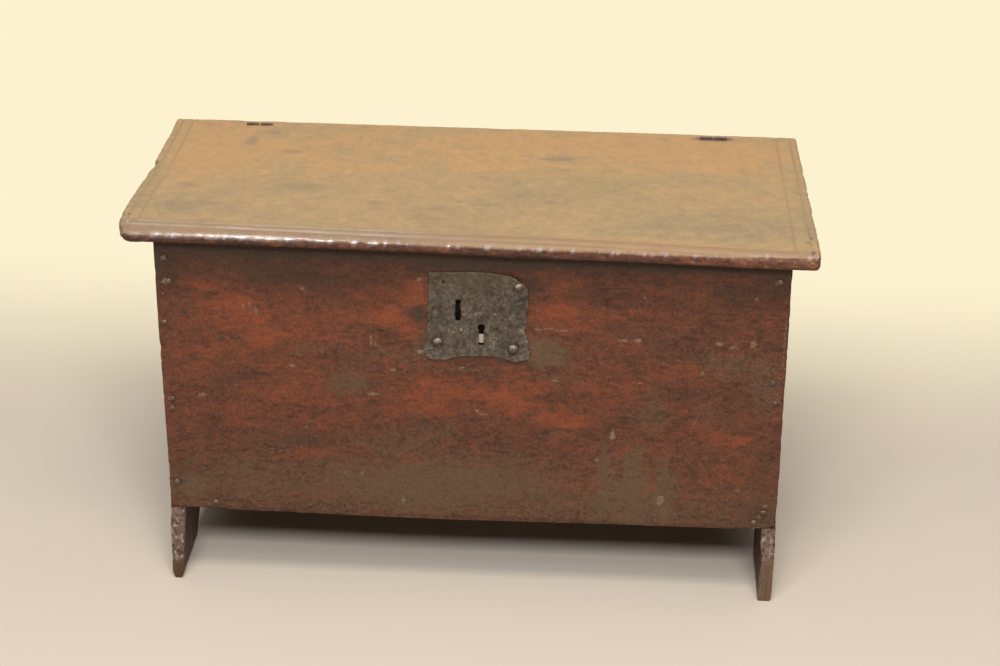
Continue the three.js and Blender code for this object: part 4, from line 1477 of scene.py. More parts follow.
    def build(self) -> None:
        """Makes the front board."""
        c = self.carcase
        left, right, low, high = self.pocket
        step_in = 0.05
        us = graded(c.left, c.right, self.step, self.edge, (left, left + step_in, right - step_in, right))
        vs = graded(c.low, c.top, self.step, self.edge, (low, low + step_in, high - step_in, high))
        sheet = Sheet.grid(us, vs)
        u, v = sheet.points.T
        rise = (v - c.low) / (c.top - c.low)
        middle, half, depth = self.hollow
        dip = depth * np.clip(1 - ((u - middle) / half) ** 2, 0, 1)
        long, tall = self.worn
        lift = tall * np.clip((u - c.right + long) / long, 0, 1) ** 2
        along, mid, corner = self.sags
        sag = along * smooth(u, c.left + 40, c.left + 100) * smooth(-u, 30 - c.right, 70 - c.right)
        sag += mid * bell(u + 30, 170) + corner * smooth(-u, -c.left - 24, -c.left - 10)
        low_right = self.fallen * smooth(u, 120, 450)
        sheet.points[:, 1] = v + (lift - sag) * (1 - rise) ** 12 - dip * rise**30 - low_right * rise**20
        inset = from_edges(sheet.points, c.left, c.right, c.low, c.top)
        top = c.thick / 2 - round_drop(inset, self.edge)
        inside = from_edges(sheet.points, left, right, low, high) > step_in / 2
        top = np.where(inside, c.thick / 2 - self.pocket_depth, top)
        loop = ordered(sheet.border())
        rim = sheet.points[loop]
        walls = [np.column_stack([rim, top[loop] + (-c.thick / 2 - top[loop]) * s]) for s in (0.3, 0.65)]
        local, faces = closed(sheet, np.column_stack([sheet.points, top]), [*walls, rim], 16.0, -c.thick / 2)
        count = len(sheet.points)
        setting = Setting((0, (2 * c.front + c.thick) / 2, 0), (1, 0, 0), (0, 0, 1), (0, -1, 0))
        arris = np.full(len(local), 6.0)
        arris[:count] = inset
        shell = Shell(setting.place(local), faces, arris)
        self._wear(shell, local, count, inside)
        c.lean.apply(shell)
        finish = OldOak(shakes=self.SHAKES, scratches=self.SCRATCHES).build("oak_front")
        dress(shell.to_piece("front_panel", finish), Body.CHEST, Slot.CHEST_OAK, "front_board")

    def _wear(self, shell: Shell, local: Array, count: int, inside: Array) -> None:
        """Gives the board its relief, its painted wear, and painted light: shade under the lid and over its
        top, in the lock's pocket and round the plate, and a glint round a nail head.

        Args:
            shell: the surface.
            local: each point's place in the board's own directions.
            count: how many points the outer face has.
            inside: which of those lie in the pocket.
        """
        c, face, place = self.carcase, local[:, :2], shell.points.copy()
        v = face[:, 1]
        wave, chip = Noise(11), Noise(12)
        outer = np.arange(len(local)) < count
        calm = np.ones(len(local))
        calm[:count][inside] = 0
        relief = 0.32 * wave.at(place, (300, 60, 70), 2) + 0.16 * wave.at(place, (46, 18, 14), 3)
        edge = smooth(-shell.arris, -6, 0) * outer
        chips = np.maximum(chip.at(place, (19, 19, 12), 3) - 0.25, 0) * 1.6 * edge
        right_low = painted(face, (Patch(c.right - 6, c.low + 14, 26, 20),))
        shell.push((relief - chips - right_low * 1.5) * calm)
        warp = np.stack([wave.at(place, (34, 34, 18), 3), chip.at(place, (34, 34, 18), 3)], 1)
        drips = wave.at(place, (7, 7, 70), 3) * painted(face, (Patch(230, 190, 80, 70),), warp * 8)
        # A band of painted shade under the lid's overhang.
        under = smooth(v, c.top - 32, c.top - 10)
        pocket = np.zeros(len(local))
        pocket[:count][inside] = 1.0
        hot = painted(face, self.REDS, warp * 15) * (1 + 0.6 * chip.at(place, (50, 50, 18), 3))
        # Towards the top the board is painted darker and less red, as painted shade from the lid; hollow is
        # near black, painted shade in the lock's pocket.
        shell.paints = {
            "red": 0.36 + 0.66 * hot - 0.24 * smooth(v, 430, 475)
            - 0.12 * smooth(-v, -230, -150),
            "dark": 0.10 + 0.8 * painted(face, self.DARKS, warp * np.array([9, 5])) + 1.0 * under
            + 0.32 * smooth(v, 425, 475),
            "hollow": np.maximum(pocket, 0.2 * smooth(v, 410, 465)),
            "olive": 0.05 + painted(face, self.OLIVES, warp * 12) + 0.8 * np.maximum(drips, 0)
            - 0.4 * smooth(v, 400, 470) + 0.30 * smooth(-v, -260, -160)
            - 0.25 * np.clip(hot, 0, 1),
            "pale": painted(face, self.PALES, warp * 1.6) + 0.5 * flecked(face, self.SCATTER, 5) * outer,
            "fleck": np.minimum(painted(face, self.FLECKED, warp * 10), 0.75) * outer,
            "polish": 0.25 * smooth(hot, 0.2, 1.0),
        }


@dataclass
class BackBoard:
    """The back board, plain and dark.

    Attributes:
        carcase: the body that it belongs to.
        step: widest spacing of the net.
        edge: radius of its arrises.
    """

    carcase: Carcase
    step: float = 5.0
    edge: float = 1.5

    def build(self) -> None:
        """Makes the back board."""
        c = self.carcase
        us, vs = graded(-c.right, -c.left, self.step, self.edge), graded(c.low, c.top, self.step, self.edge)
        sheet = Sheet.grid(us, vs)
        inset = from_edges(sheet.points, -c.right, -c.left, c.low, c.top)
        drop = round_drop(inset, self.edge)
        local, faces, down = thicken(sheet, c.thick / 2 - drop, -c.thick / 2 + drop, (0.25, 0.5, 0.75))
        setting = Setting((0, c.back - c.thick / 2, 0), (-1, 0, 0), (0, 0, 1), (0, 1, 0))
        arris = np.concatenate([inset, inset, np.full(len(local) - 2 * len(inset), 5.0)])
        shell = Shell(setting.place(local), faces, arris)
        place, wave = shell.points.copy(), Noise(21)
        shell.push(0.35 * wave.at(place, (280, 60, 60), 3)
                   - np.maximum(wave.at(place, (18, 18, 12), 3), 0) * 1.6 * smooth(-arris, -5, 0))
        c.lean.apply(shell)
        outer = down < 0.5
        shell.paints = {
            "red": 0.05 + 0.4 * wave.at(place, (120, 60, 40), 3),
            "dark": np.where(outer, 0.15, 0.1) + 0.4 * wave.at(place, (90, 40, 50), 3),
            "olive": 0.45 + 0.4 * wave.at(place, (60, 60, 90), 2) + 0.1 * ~outer,
            "pale": 0.5 * flecked(local[:, :2], (Flecks(0, 310, 420, 200, 110, 3.0),), 8) * outer,
            "fleck": 0.35 + 0.4 * wave.at(place, (120, 60, 60), 2),
            "polish": np.zeros(len(local)),
        }
        finish = OldOak(warmth=0.1, olive=(0.165, 0.112, 0.070)).build("oak_back")
        dress(shell.to_piece("back_panel", finish), Body.CHEST, Slot.CHEST_OAK, "back_board")


@dataclass
class BottomBoard:
    """The bottom board, bare oak in its trenches.

    Attributes:
        carcase: the body that it belongs to.
        reach: how far short of the sides it stops.
        gap: clearance to the front and back boards.
        low: its underside.
        thick: its thickness.
        step: widest spacing of the net.
    """

    carcase: Carcase
    reach: float = 14.0
    gap: float = 0.3
    low: float = 118.0
    thick: float = 18.0
    step: float = 7.0

    def build(self) -> None:
        """Makes the bottom board."""
        c = self.carcase
        us = graded(c.left + self.reach, c.right - self.reach, self.step, 1.0)
        vs = graded(c.front + c.thick + self.gap, c.back - c.thick - self.gap, self.step, 1.0)
        sheet = Sheet.grid(us, vs)
        drop = round_drop(from_edges(sheet.points, us[0], us[-1], vs[0], vs[-1]), 1.0)
        local, faces, _ = thicken(sheet, self.thick / 2 - drop, -self.thick / 2 + drop, (0.5,))
        setting = Setting((0, 0, self.low + self.thick / 2), (1, 0, 0), (0, 1, 0), (0, 0, 1))
        shell = Shell(setting.place(local), faces, np.full(len(local), 5.0))
        shell.push(0.3 * Noise(31).at(shell.points, (260, 60, 60), 3) - 0.25)
        c.lean.apply(shell)
        piece = shell.to_piece("chest_floor_board", BareOak().build("oak_bare"))
        dress(piece, Body.CHEST, Slot.INNER_OAK, "bottom_board")


@dataclass
class EndBoard:
    """An end board with its two feet and the arch between them.

    Attributes:
        carcase: the body that it belongs to.
        side: which end it is.
        recess: how far the feet stand back from the front and back boards.
        gap: clearance under those boards.
        arch: radius of the arch.
        taper_height: where the feet start to thin.
        chamfer: the left foot's worn outer edge: height and depth.
        waist: the hollow in the right foot's outer face: height, reach and depth.
        tip: the feet's worn ends: height, how far they thin, and how far their front steps back.
        edge: radius of its arrises.
        step: widest spacing of the net.
    """

    carcase: Carcase
    side: Side
    recess: float = 3.0
    gap: float = 0.3
    arch: float = 70.0
    taper_height: float = 75.0
    chamfer: tuple[float, float] = (16.0, 1.6)
    waist: tuple[float, float, float] = (62.0, 18.0, 2.6)
    tip: tuple[float, float, float] = (9.0, 2.2, 2.5)
    edge: float = 1.1
    step: float = 4.2

    TAPERS = {Side.LEFT: 6.5, Side.RIGHT: 1.0}
    SPLIT_FROM = {Side.LEFT: 24.0, Side.RIGHT: 58.0}
    DROOP = 4.1

    def _sheet(self) -> tuple[Sheet, Array]:
        """Lays out the board's side view.

        Returns:
            The net, and how far each point lies from the outline.
        """
        c = self.carcase
        outer = (c.front + self.recess, c.back - self.recess)
        inner = (c.front + c.thick + self.gap, c.back - c.thick - self.gap)
        middle, shoulder = (c.front + c.back) / 2, c.low - self.gap
        edge = np.array([0, 0.2, 0.6, 1.1])
        turn = np.linspace(math.pi, 0, 33)
        us = np.unique(np.round(np.concatenate([
            outer[0] + edge, outer[1] - edge, inner[0] + edge, inner[1] - edge,
            np.arange(outer[0] + 5.5, inner[0], 4), np.arange(inner[0] + 5.5, middle - self.arch, self.step),
            middle + self.arch * np.cos(turn), np.arange(middle + self.arch + 3, inner[1] - 3, self.step),
            np.arange(inner[1] + 3, outer[1] - 2, 4)]), 3))
        lower = np.concatenate([edge, np.arange(5, shoulder - 4, 3.2), shoulder - edge[::-1]])
        upper = np.concatenate([np.arange(shoulder + 4, c.top - 4, self.step), c.top - edge[::-1]])
        vs = np.concatenate([lower, upper])
        low = np.sqrt(np.maximum(self.arch**2 - (us - middle) ** 2, 0))
        mids = (us[1:] + us[:-1]) / 2
        in_body = (mids > inner[0]) & (mids < inner[1])
        keep = in_body[:, None] | (np.arange(len(vs) - 1) < len(lower) - 1)[None]
        index = np.repeat(np.arange(len(us)), len(vs))
        full = Sheet.grid(us, vs)
        full.points[:, 1] = np.where(
            full.points[:, 1] < shoulder,
            low[index] + full.points[:, 1] * (shoulder - low[index]) / shoulder, full.points[:, 1])
        sheet = full.only(keep.ravel())
        return sheet, to_lines(sheet.points, sheet.points[sheet.border()])

    def build(self) -> None:
        """Makes the end board."""
        c = self.carcase
        sheet, away = self._sheet()
        facing = self.side.value
        outer_x = c.left if self.side is Side.LEFT else c.right
        drop = round_drop(away, self.edge)
        high, low = c.thick / 2 - drop, -c.thick / 2 + drop
        local, faces, down = thicken(sheet, high, low, (0.12, 0.3, 0.5, 0.7, 0.88))
        setting = Setting((outer_x - facing * c.thick / 2, 0, 0), (0, 1, 0), (0, 0, 1), (1, 0, 0))
        rest = len(local) - 2 * len(away)
        arris = np.concatenate([away, away, np.minimum(down[-rest:], 1 - down[-rest:]) * c.thick])
        shell = Shell(setting.place(local), faces, arris)
        place = shell.points.copy()
        x, y, z = place.T
        inward = (outer_x - x) * facing / c.thick
        thin = np.clip(1 - z / self.taper_height, 0, 1)
        shell.points[:, 0] -= -facing * thin * self.TAPERS[self.side] * inward
        foot = smooth(c.low - z, -2, 4)
        right = self.side is Side.RIGHT
        if right:
            sink = self.DROOP * smooth(-y, -100, 211.5)
            shell.points[:, 2] -= sink * np.clip((z - 400) / (c.top - 400), 0, 1)
            middle, reach, depth = self.waist
            shell.points[:, 0] += bell(z - middle, reach) * depth * inward * foot
        tall, depth = self.chamfer
        chamfer = smooth(tall - z, 0, tall)
        shell.points[:, 0] -= facing * chamfer * depth * (1 - inward) * (self.side is Side.LEFT)
        wave, hack = Noise(41 + facing), Noise(51 + facing)
        front_face = foot * smooth(-y, -c.front - self.recess - 3, -c.front - self.recess - 0.5)
        split_from = self.SPLIT_FROM[self.side]
        hacked = front_face * smooth(z, split_from, split_from + 14)
        cuts = np.abs(hack.at(place, (8, 20, 9), 2)) * 2.6 + 0.6 * hack.at(place, (5, 6, 5), 2)
        chips = np.maximum(wave.at(place, (16, 16, 16), 3) - 0.25, 0) * 1.6 * smooth(-arris, -5, 0)
        shell.push(0.25 * wave.at(place, (60, 60, 260), 3) - chips - hacked * cuts)
        tall, thin, back = self.tip
        tip = np.clip(1 - z / tall, 0, 1) ** 2
        shell.points[:, 0] -= facing * (1 - 2 * inward) * thin * tip
        shell.points[:, 1] += back * tip * smooth(-y, 165, 188)
        shell.points[:, 2] = np.maximum(shell.points[:, 2], 0.0)
        c.lean.apply(shell)
        shell.paints = {
            "red": 0.28 + 0.45 * wave.at(place, (60, 70, 160), 3) + (0.28 if right else -0.05) * front_face,
            # The feet's inner faces are painted dark, as painted shade under the chest.
            "dark": 0.20 + 0.35 * wave.at(place, (60, 60, 120), 3) - 0.2 * front_face
            + 1.1 * smooth(inward, 0.75, 0.95) * foot,
            "olive": 0.10 + 0.4 * wave.at(place, (40, 60, 90), 2) + (0.15 if right else 0.4) * front_face,
            "hack": hacked,
            "pale": 0.5 * flecked(local[:, :2], (Flecks(0, 300, 190, 230, 120, 2.6),), 14)
            + (0.65 if right else 0.35) * front_face,
            "fleck": 0.35 + 0.4 * wave.at(place, (80, 80, 120), 2),
            "polish": front_face * 1.0,
        }
        end = f"{self.side.name.lower()}_end"
        finish = OldOak(grain=Grain.UPRIGHT, split_glint=(0.42, 0.325, 0.315)).build(f"oak_{end}")
        dress(shell.to_piece(f"{end}_panel", finish), Body.CHEST, Slot.CHEST_OAK, f"{end}_board")


# Repeats and paths made with Geometry Nodes


class Nodes:
    """A Geometry Nodes tree while it is being made."""

    def __init__(self, name: str, inputs: dict[str, float | None]) -> None:
        """Starts the tree with its named inputs.

        Args:
            name: the tree's name.
            inputs: each input's name and usual value, or None for a material.
        """
        self.tree = bpy.data.node_groups.new(name, "GeometryNodeTree")
        face = self.tree.interface
        face.new_socket("Geometry", in_out="INPUT", socket_type="NodeSocketGeometry")
        self.keys = {}
        for label, value in inputs.items():
            kind = {float: "Float", int: "Int"}.get(type(value), "Material")
            made = face.new_socket(label, in_out="INPUT", socket_type=f"NodeSocket{kind}")
            if value is not None:
                made.default_value = value
            self.keys[label] = made.identifier
        face.new_socket("Geometry", in_out="OUTPUT", socket_type="NodeSocketGeometry")
        self.inputs = self.tree.nodes.new("NodeGroupInput")

    def add(self, kind: str, values: dict, **settings: str) -> bpy.types.Node:
        """Adds a node.

        Args:
            kind: the node's type, without GeometryNode if it starts with that.
            values: what its sockets get: a socket, a node's first output or a plain value.
            settings: its settings.

        Returns:
            The node.
        """
        whole = kind if kind.startswith(("ShaderNode", "FunctionNode")) else f"GeometryNode{kind}"
        made = self.tree.nodes.new(whole)
        for key, value in settings.items():
            setattr(made, key, value)
        for key, value in values.items():
            if isinstance(value, bpy.types.Node):
                value = value.outputs[0]
            if isinstance(value, bpy.types.NodeSocket):
                self.tree.links.new(value, made.inputs[key])
            else:
                made.inputs[key].default_value = value
        return made

    def close(self, geometry: bpy.types.Node) -> None:
        """Ends the tree in real geometry with the finish on it.

        Args:
            geometry: what the tree has made.
        """
        soft = self.add("SetShadeSmooth", {"Geometry": geometry})
        real = self.add("RealizeInstances", {"Geometry": soft})
        dressed = self.add("SetMaterial", {"Geometry": real, "Material": self.inputs.outputs["Finish"]})
        out = self.tree.nodes.new("NodeGroupOutput")
        self.tree.links.new(dressed.outputs[0], out.inputs[0])

    def run(self, source: bpy.types.Object, values: dict) -> None:
        """Runs the tree on an object and keeps the plain result.

        Args:
            source: the object, which becomes the piece.
            values: what each named input gets.
        """
        modifier = source.modifiers.new("make", "NODES")
        modifier.node_group = self.tree
        for label, value in values.items():
            modifier[self.keys[label]] = value
        bpy.context.view_layer.update()
        graph = bpy.context.evaluated_depsgraph_get()
        mesh = bpy.data.meshes.new_from_object(source.evaluated_get(graph), depsgraph=graph)
        source.modifiers.clear()
        old, source.data = source.data, mesh
        mesh.name = source.name
        if isinstance(old, bpy.types.Mesh):
            bpy.data.meshes.remove(old)


def wire_tree() -> Nodes:
    """A tree that turns a line into forged wire.

    Returns:
        The tree.
    """
    nodes = Nodes("forged_wire", {
        "Radius": 0.0018, "Spacing": 0.0009, "Unevenness": 0.0003, "Sides": 14, "Finish": None})
    group = nodes.inputs.outputs
    line = nodes.add("MeshToCurve", {"Mesh": group["Geometry"]})
    even = nodes.add("ResampleCurve", {"Curve": line, "Length": group["Spacing"]}, mode="LENGTH")
    ring = nodes.add("CurvePrimitiveCircle", {"Resolution": group["Sides"], "Radius": group["Radius"]})
    tube = nodes.add("CurveToMesh", {"Curve": even, "Profile Curve": ring, "Fill Caps": True})
    noise = nodes.add("ShaderNodeTexNoise", {"Scale": 190.0, "Detail": 3.0})
    level = nodes.add("ShaderNodeMath", {0: noise, 1: 0.5}, operation="SUBTRACT")
    height = nodes.add("ShaderNodeMath", {0: level, 1: group["Unevenness"]}, operation="MULTIPLY")
    normal = nodes.add("InputNormal", {})
    shift = nodes.add("ShaderNodeVectorMath", {0: normal, "Scale": height}, operation="SCALE")
    nodes.close(nodes.add("SetPosition", {"Geometry": tube, "Offset": shift}))
    return nodes


def nail_tree() -> Nodes:
    """A tree that sets a forged nail or rivet on each point of a mesh.

    Returns:
        The tree.
    """
    nodes = Nodes("forged_nails", {
        "Head Radius": 0.0046, "Head Height": 0.0026, "Shank Radius": 0.0021, "Tip Radius": 0.0011,
        "Shank Length": 0.046, "Shank Sides": 4, "Facing": 1.0, "Spread": 0.2, "Hammering": 0.0006, "Seed": 1,
        "Finish": None})
    group = nodes.inputs.outputs
    ball = nodes.add("MeshUVSphere", {"Segments": 16, "Rings": 10, "Radius": 1.0})
    wide = group["Head Radius"]
    size = nodes.add("ShaderNodeCombineXYZ", {0: wide, 1: wide, 2: group["Head Height"]})
    head = nodes.add("Transform", {"Geometry": ball, "Scale": size})
    shank = nodes.add("MeshCone", {
        "Vertices": group["Shank Sides"], "Side Segments": 6, "Radius Top": group["Tip Radius"],
        "Radius Bottom": group["Shank Radius"], "Depth": group["Shank Length"]})
    down = nodes.add("Transform", {"Geometry": shank, "Rotation": (math.pi, 0.0, math.pi / 4)})
    one = nodes.add("JoinGeometry", {})
    for part in (head, down):
        nodes.tree.links.new(part.outputs[0], one.inputs[0])
    whole = 2 * math.pi
    spin = nodes.add("FunctionNodeRandomValue", {2: 0.0, 3: whole, "Seed": group["Seed"]}, data_type="FLOAT")
    tip = nodes.add("ShaderNodeMath", {0: group["Facing"], 1: math.pi / 2}, operation="MULTIPLY")
    turn = nodes.add("ShaderNodeCombineXYZ", {0: tip, 2: 0.0})
    most = nodes.add("ShaderNodeMath", {0: 1.0, 1: group["Spread"]}, operation="ADD")
    least = nodes.add("ShaderNodeMath", {0: 1.0, 1: group["Spread"]}, operation="SUBTRACT")
    grow = nodes.add("FunctionNodeRandomValue", {2: least, 3: most, "Seed": group["Seed"]}, data_type="FLOAT")
    placed = nodes.add("InstanceOnPoints", {"Points": group["Geometry"], "Instance": one, "Rotation": turn})
    across = nodes.add("ShaderNodeCombineXYZ", {0: grow.outputs[1], 1: grow.outputs[1], 2: 1.0})
    scaled = nodes.add("ScaleInstances", {"Instances": placed, "Scale": across})
    around = nodes.add("ShaderNodeCombineXYZ", {2: spin.outputs[1]})
    spun = nodes.add("RotateInstances", {"Instances": scaled, "Rotation": around})
    noise = nodes.add("ShaderNodeTexNoise", {"Scale": 330.0, "Detail": 2.0})
    level = nodes.add("ShaderNodeVectorMath", {0: noise.outputs[1], 1: (0.5, 0.5, 0.5)}, operation="SUBTRACT")
    shift = nodes.add("ShaderNodeVectorMath", {0: level, "Scale": group["Hammering"]}, operation="SCALE")
    real = nodes.add("RealizeInstances", {"Geometry": spun})
    nodes.close(nodes.add("SetPosition", {"Geometry": real, "Offset": shift}))
    return nodes


def source_of(name: str, points: Sequence[Sequence[float]], line: bool) -> bpy.types.Object:
    """A mesh of points or of one line for a tree to work on.

    Args:
        name: the piece's name.
        points: the places, in millimetres.
        line: whether they are joined in a line.

    Returns:
        The object.
    """
    mesh = bpy.data.meshes.new(name)
    edges = [(i, i + 1) for i in range(len(points) - 1)] if line else []
    mesh.from_pydata([tuple(c * MM for c in p) for p in points], edges, [])
    return add_object(name, mesh)


@dataclass
class Hinges:
    """Two hinges, each of two linked wire eyes.

    Attributes:
        xs: where they stand.
        pivot: y and z of the line that they turn about.
        wire: the wire's radius.
        eye: radius of an eye's centre line.
        leg: how far a leg lies from the middle.
        neck: radius of the bend between eye and leg.
        bend: radius of the bend into the clinch.
        clinch: how far a clinched end reaches.
        lid_top: height of the lid's top.
        back: y of the back board's outer face.
        board: the back board's thickness.
        gap: clearance under the clinched ends.
    """

    xs: tuple[float, float] = (-328.0, 328.0)
    pivot: tuple[float, float] = (195.998, 502.002)
    wire: float = 1.8
    eye: float = 5.5
    leg: float = 1.95
    neck: float = 2.5
    bend: float = 2.5
    clinch: float = 17.0
    lid_top: float = 535.0
    back: float = 187.5
    board: float = 20.0
    gap: float = 0.3

    def _leg(self, side: int, length: float, crossed: bool) -> list[Point]:
        """One leg, from its clinched end to where the eye begins.

        Args:
            side: -1 or 1.
            length: how far it reaches from the eye's middle.
            crossed: whether the clinch turns out of the eye's plane.

        Returns:
            Its points: along the pin, across it, and out of its plane.
        """
        reach = math.sqrt((self.eye + self.neck) ** 2 - (self.leg + self.neck) ** 2)
        begin = math.asin((self.leg + self.neck) / (self.eye + self.neck))
        points = []
        for out, turn in [(self.clinch, 0.0)] + [(None, a) for a in np.linspace(0, math.pi / 2, 6)]:
            away = self.bend * (1 - math.sin(turn)) if out is None else out
            along = length - self.bend + self.bend * math.cos(turn)
            across = (side * self.leg, side * away) if crossed else (side * (self.leg + away), 0.0)
            points.append((along, *across))
        for turn in np.linspace(math.pi / 2, math.pi - begin, 5):
            across = side * (self.leg + self.neck - self.neck * math.sin(turn))
            points.append((reach + self.neck * math.cos(turn), across, 0.0))
        return points

    def _path(self, length: float, crossed: bool) -> Array:
        """A whole pin, from one clinched end round the eye to the other.

        Args:
            length: how far its legs reach from the eye's middle.
            crossed: whether the clinches turn out of the eye's plane.

        Returns:
            Its points: along, across and out.
        """
        begin = math.asin((self.leg + self.neck) / (self.eye + self.neck))
        turns = np.linspace(begin, 2 * math.pi - begin, 26)[1:-1]
        eye = [(self.eye * math.cos(t), self.eye * math.sin(t), 0.0) for t in turns]
        return np.array(self._leg(1, length, crossed) + eye + self._leg(-1, length, crossed)[::-1])

    def build(self) -> None:
        """Makes the four pins."""
        tree = wire_tree()
        finish = OldIron(
            tones=((0.035, 0.024, 0.024), (0.075, 0.052, 0.050), (0.120, 0.086, 0.082),
                   (0.210, 0.160, 0.150)),
            tint=(0.120, 0.080, 0.078), pit=0.25, coarse=380.0, contrast=0.7).build("iron_wire")
        y, z = self.pivot
        up = self.lid_top + self.gap + self.wire - z - self.eye
        through = y - self.back + self.board + self.gap + self.wire
        for label, x in zip(("left", "right"), self.xs):
            path = self._path(up, False)
            upper = np.stack([x + path[:, 1], y + path[:, 2], z + self.eye + path[:, 0]], 1)
            path = self._path(through, True)
            lower = np.stack([x - path[:, 2], y - path[:, 0], z + path[:, 1]], 1)
            for which, points, body in (("upper", upper, Body.LID), ("lower", lower, Body.CHEST)):
                piece = source_of(f"{label}_{which}_wire", points.tolist(), True)
                tree.run(piece, {"Radius": self.wire * MM, "Spacing": 0.9 * MM, "Unevenness": 0.35 * MM,
                                 "Sides": 14, "Finish": finish})
                dress(piece, body, Slot.HINGE_IRON, f"{label}_{which}_hinge_pin")


@dataclass(frozen=True)
class Forged:
    """One kind of nail or rivet.

    Attributes:
        head: radius of its head.
        height: the head's height.
        length: length of its shank.
        shank: the shank's radius.
        sides: how many sides the shank has.
        rub: how strongly the head is painted light on top and dark below, a painted highlight and shade over
            rubbed wear where it stands out.
        facing: 1 for a head at the front and -1 for a head at the back.
        seed: which random draw.
    """

    head: float
    height: float
    length: float = 46.0
    shank: float = 2.4
    sides: int = 4
    rub: float = 0.5
    facing: int = 1
    seed: int = 3


@dataclass
class Nails:
    """Every nail and rivet, set where its solid is.

    Attributes:
        front: the front board's nails.
        back: the back board's nails.
        plate: the lock plate's nails.
        rivet: the lock's rivets.
        spread: how much the heads of one kind differ, as a share.
        hammering: how uneven they are.
    """

    front: Forged = Forged(4.0, 1.9)
    back: Forged = Forged(4.4, 2.6, facing=-1, seed=4)
    plate: Forged = Forged(6.0, 5.2, 17.8, 2.1, rub=1.0, seed=5)
    rivet: Forged = Forged(3.1, 1.6, 9.0, 1.6, 12, 0.6, seed=9)
    spread: float = 0.14
    hammering: float = 0.9

    def build(self) -> None:
        """Makes the nails of the boards and the plate, and the rivets."""
        tree = nail_tree()
        finish = OldIron(
            tones=((0.020, 0.013, 0.009), (0.050, 0.030, 0.018), (0.088, 0.056, 0.034), (0.160, 0.112, 0.074),
                   (0.420, 0.350, 0.300)),
            tint=(0.085, 0.050, 0.028), pit=0.3, coarse=420.0, gloss=0.36, contrast=0.8).build("iron_nail")
        for board, kind in (("front", self.front), ("back", self.back), ("plate", self.plate)):
            solids = sorted(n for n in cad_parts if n.startswith(f"{board}_nail"))
            piece = self._set(tree, f"{board}_nail_heads", solids, kind, finish)
            dress(piece, Body.CHEST, Slot.NAIL_IRON, *solids)
        solids = ["left_staple_rivet", "right_staple_rivet", "ward_rivet"]
        piece = self._set(tree, "lock_rivets", solids, self.rivet, finish)
        dress(piece, Body.CHEST, Slot.LOCK_IRON, *solids)

    def _set(self, tree: Nodes, name: str, solids: list[str], kind: Forged,
             finish: bpy.types.Material) -> bpy.types.Object:
        """Runs the tree on one group.

        Args:
            tree: the nail tree.
            name: the piece's name.
            solids: the solids that the group stands for.
            kind: their sizes.
            finish: the iron.

        Returns:
            The piece.
        """
        places = []
        for solid in solids:
            low, high = (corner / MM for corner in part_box(solid))
            middle, outer = (low + high) / 2, low.y if kind.facing > 0 else high.y
            places.append((middle.x, outer + kind.facing * kind.height, middle.z))
        piece = source_of(name, places, False)
        tree.run(piece, {
            "Head Radius": kind.head * MM, "Head Height": kind.height * MM, "Shank Radius": kind.shank * MM,
            "Tip Radius": kind.shank * 0.5 * MM, "Shank Length": kind.length * MM, "Shank Sides": kind.sides,
            "Facing": float(kind.facing), "Spread": self.spread, "Hammering": self.hammering * MM,
            "Seed": kind.seed, "Finish": finish})
        mesh = piece.data
        co = np.zeros(len(mesh.vertices) * 3, np.float32)
        mesh.vertices.foreach_get("co", co)
        co = co.reshape(-1, 3) / MM
        middles = np.array(places)
        near = middles[np.abs(co[:, None] - middles[None])[:, :, ::2].max(2).argmin(1)]
        # A painted highlight on top of each head and painted shade below it, with rubbed wear where it stands
        # out.
        out = -kind.facing * (co[:, 1] - near[:, 1]) / kind.height
        high = np.clip((co[:, 2] - near[:, 2]) / kind.head, -1, 1)
        lay(mesh, "rub", (np.clip(out, 0, 1) * 0.25 + high * 0.7) * kind.rub)
        return piece


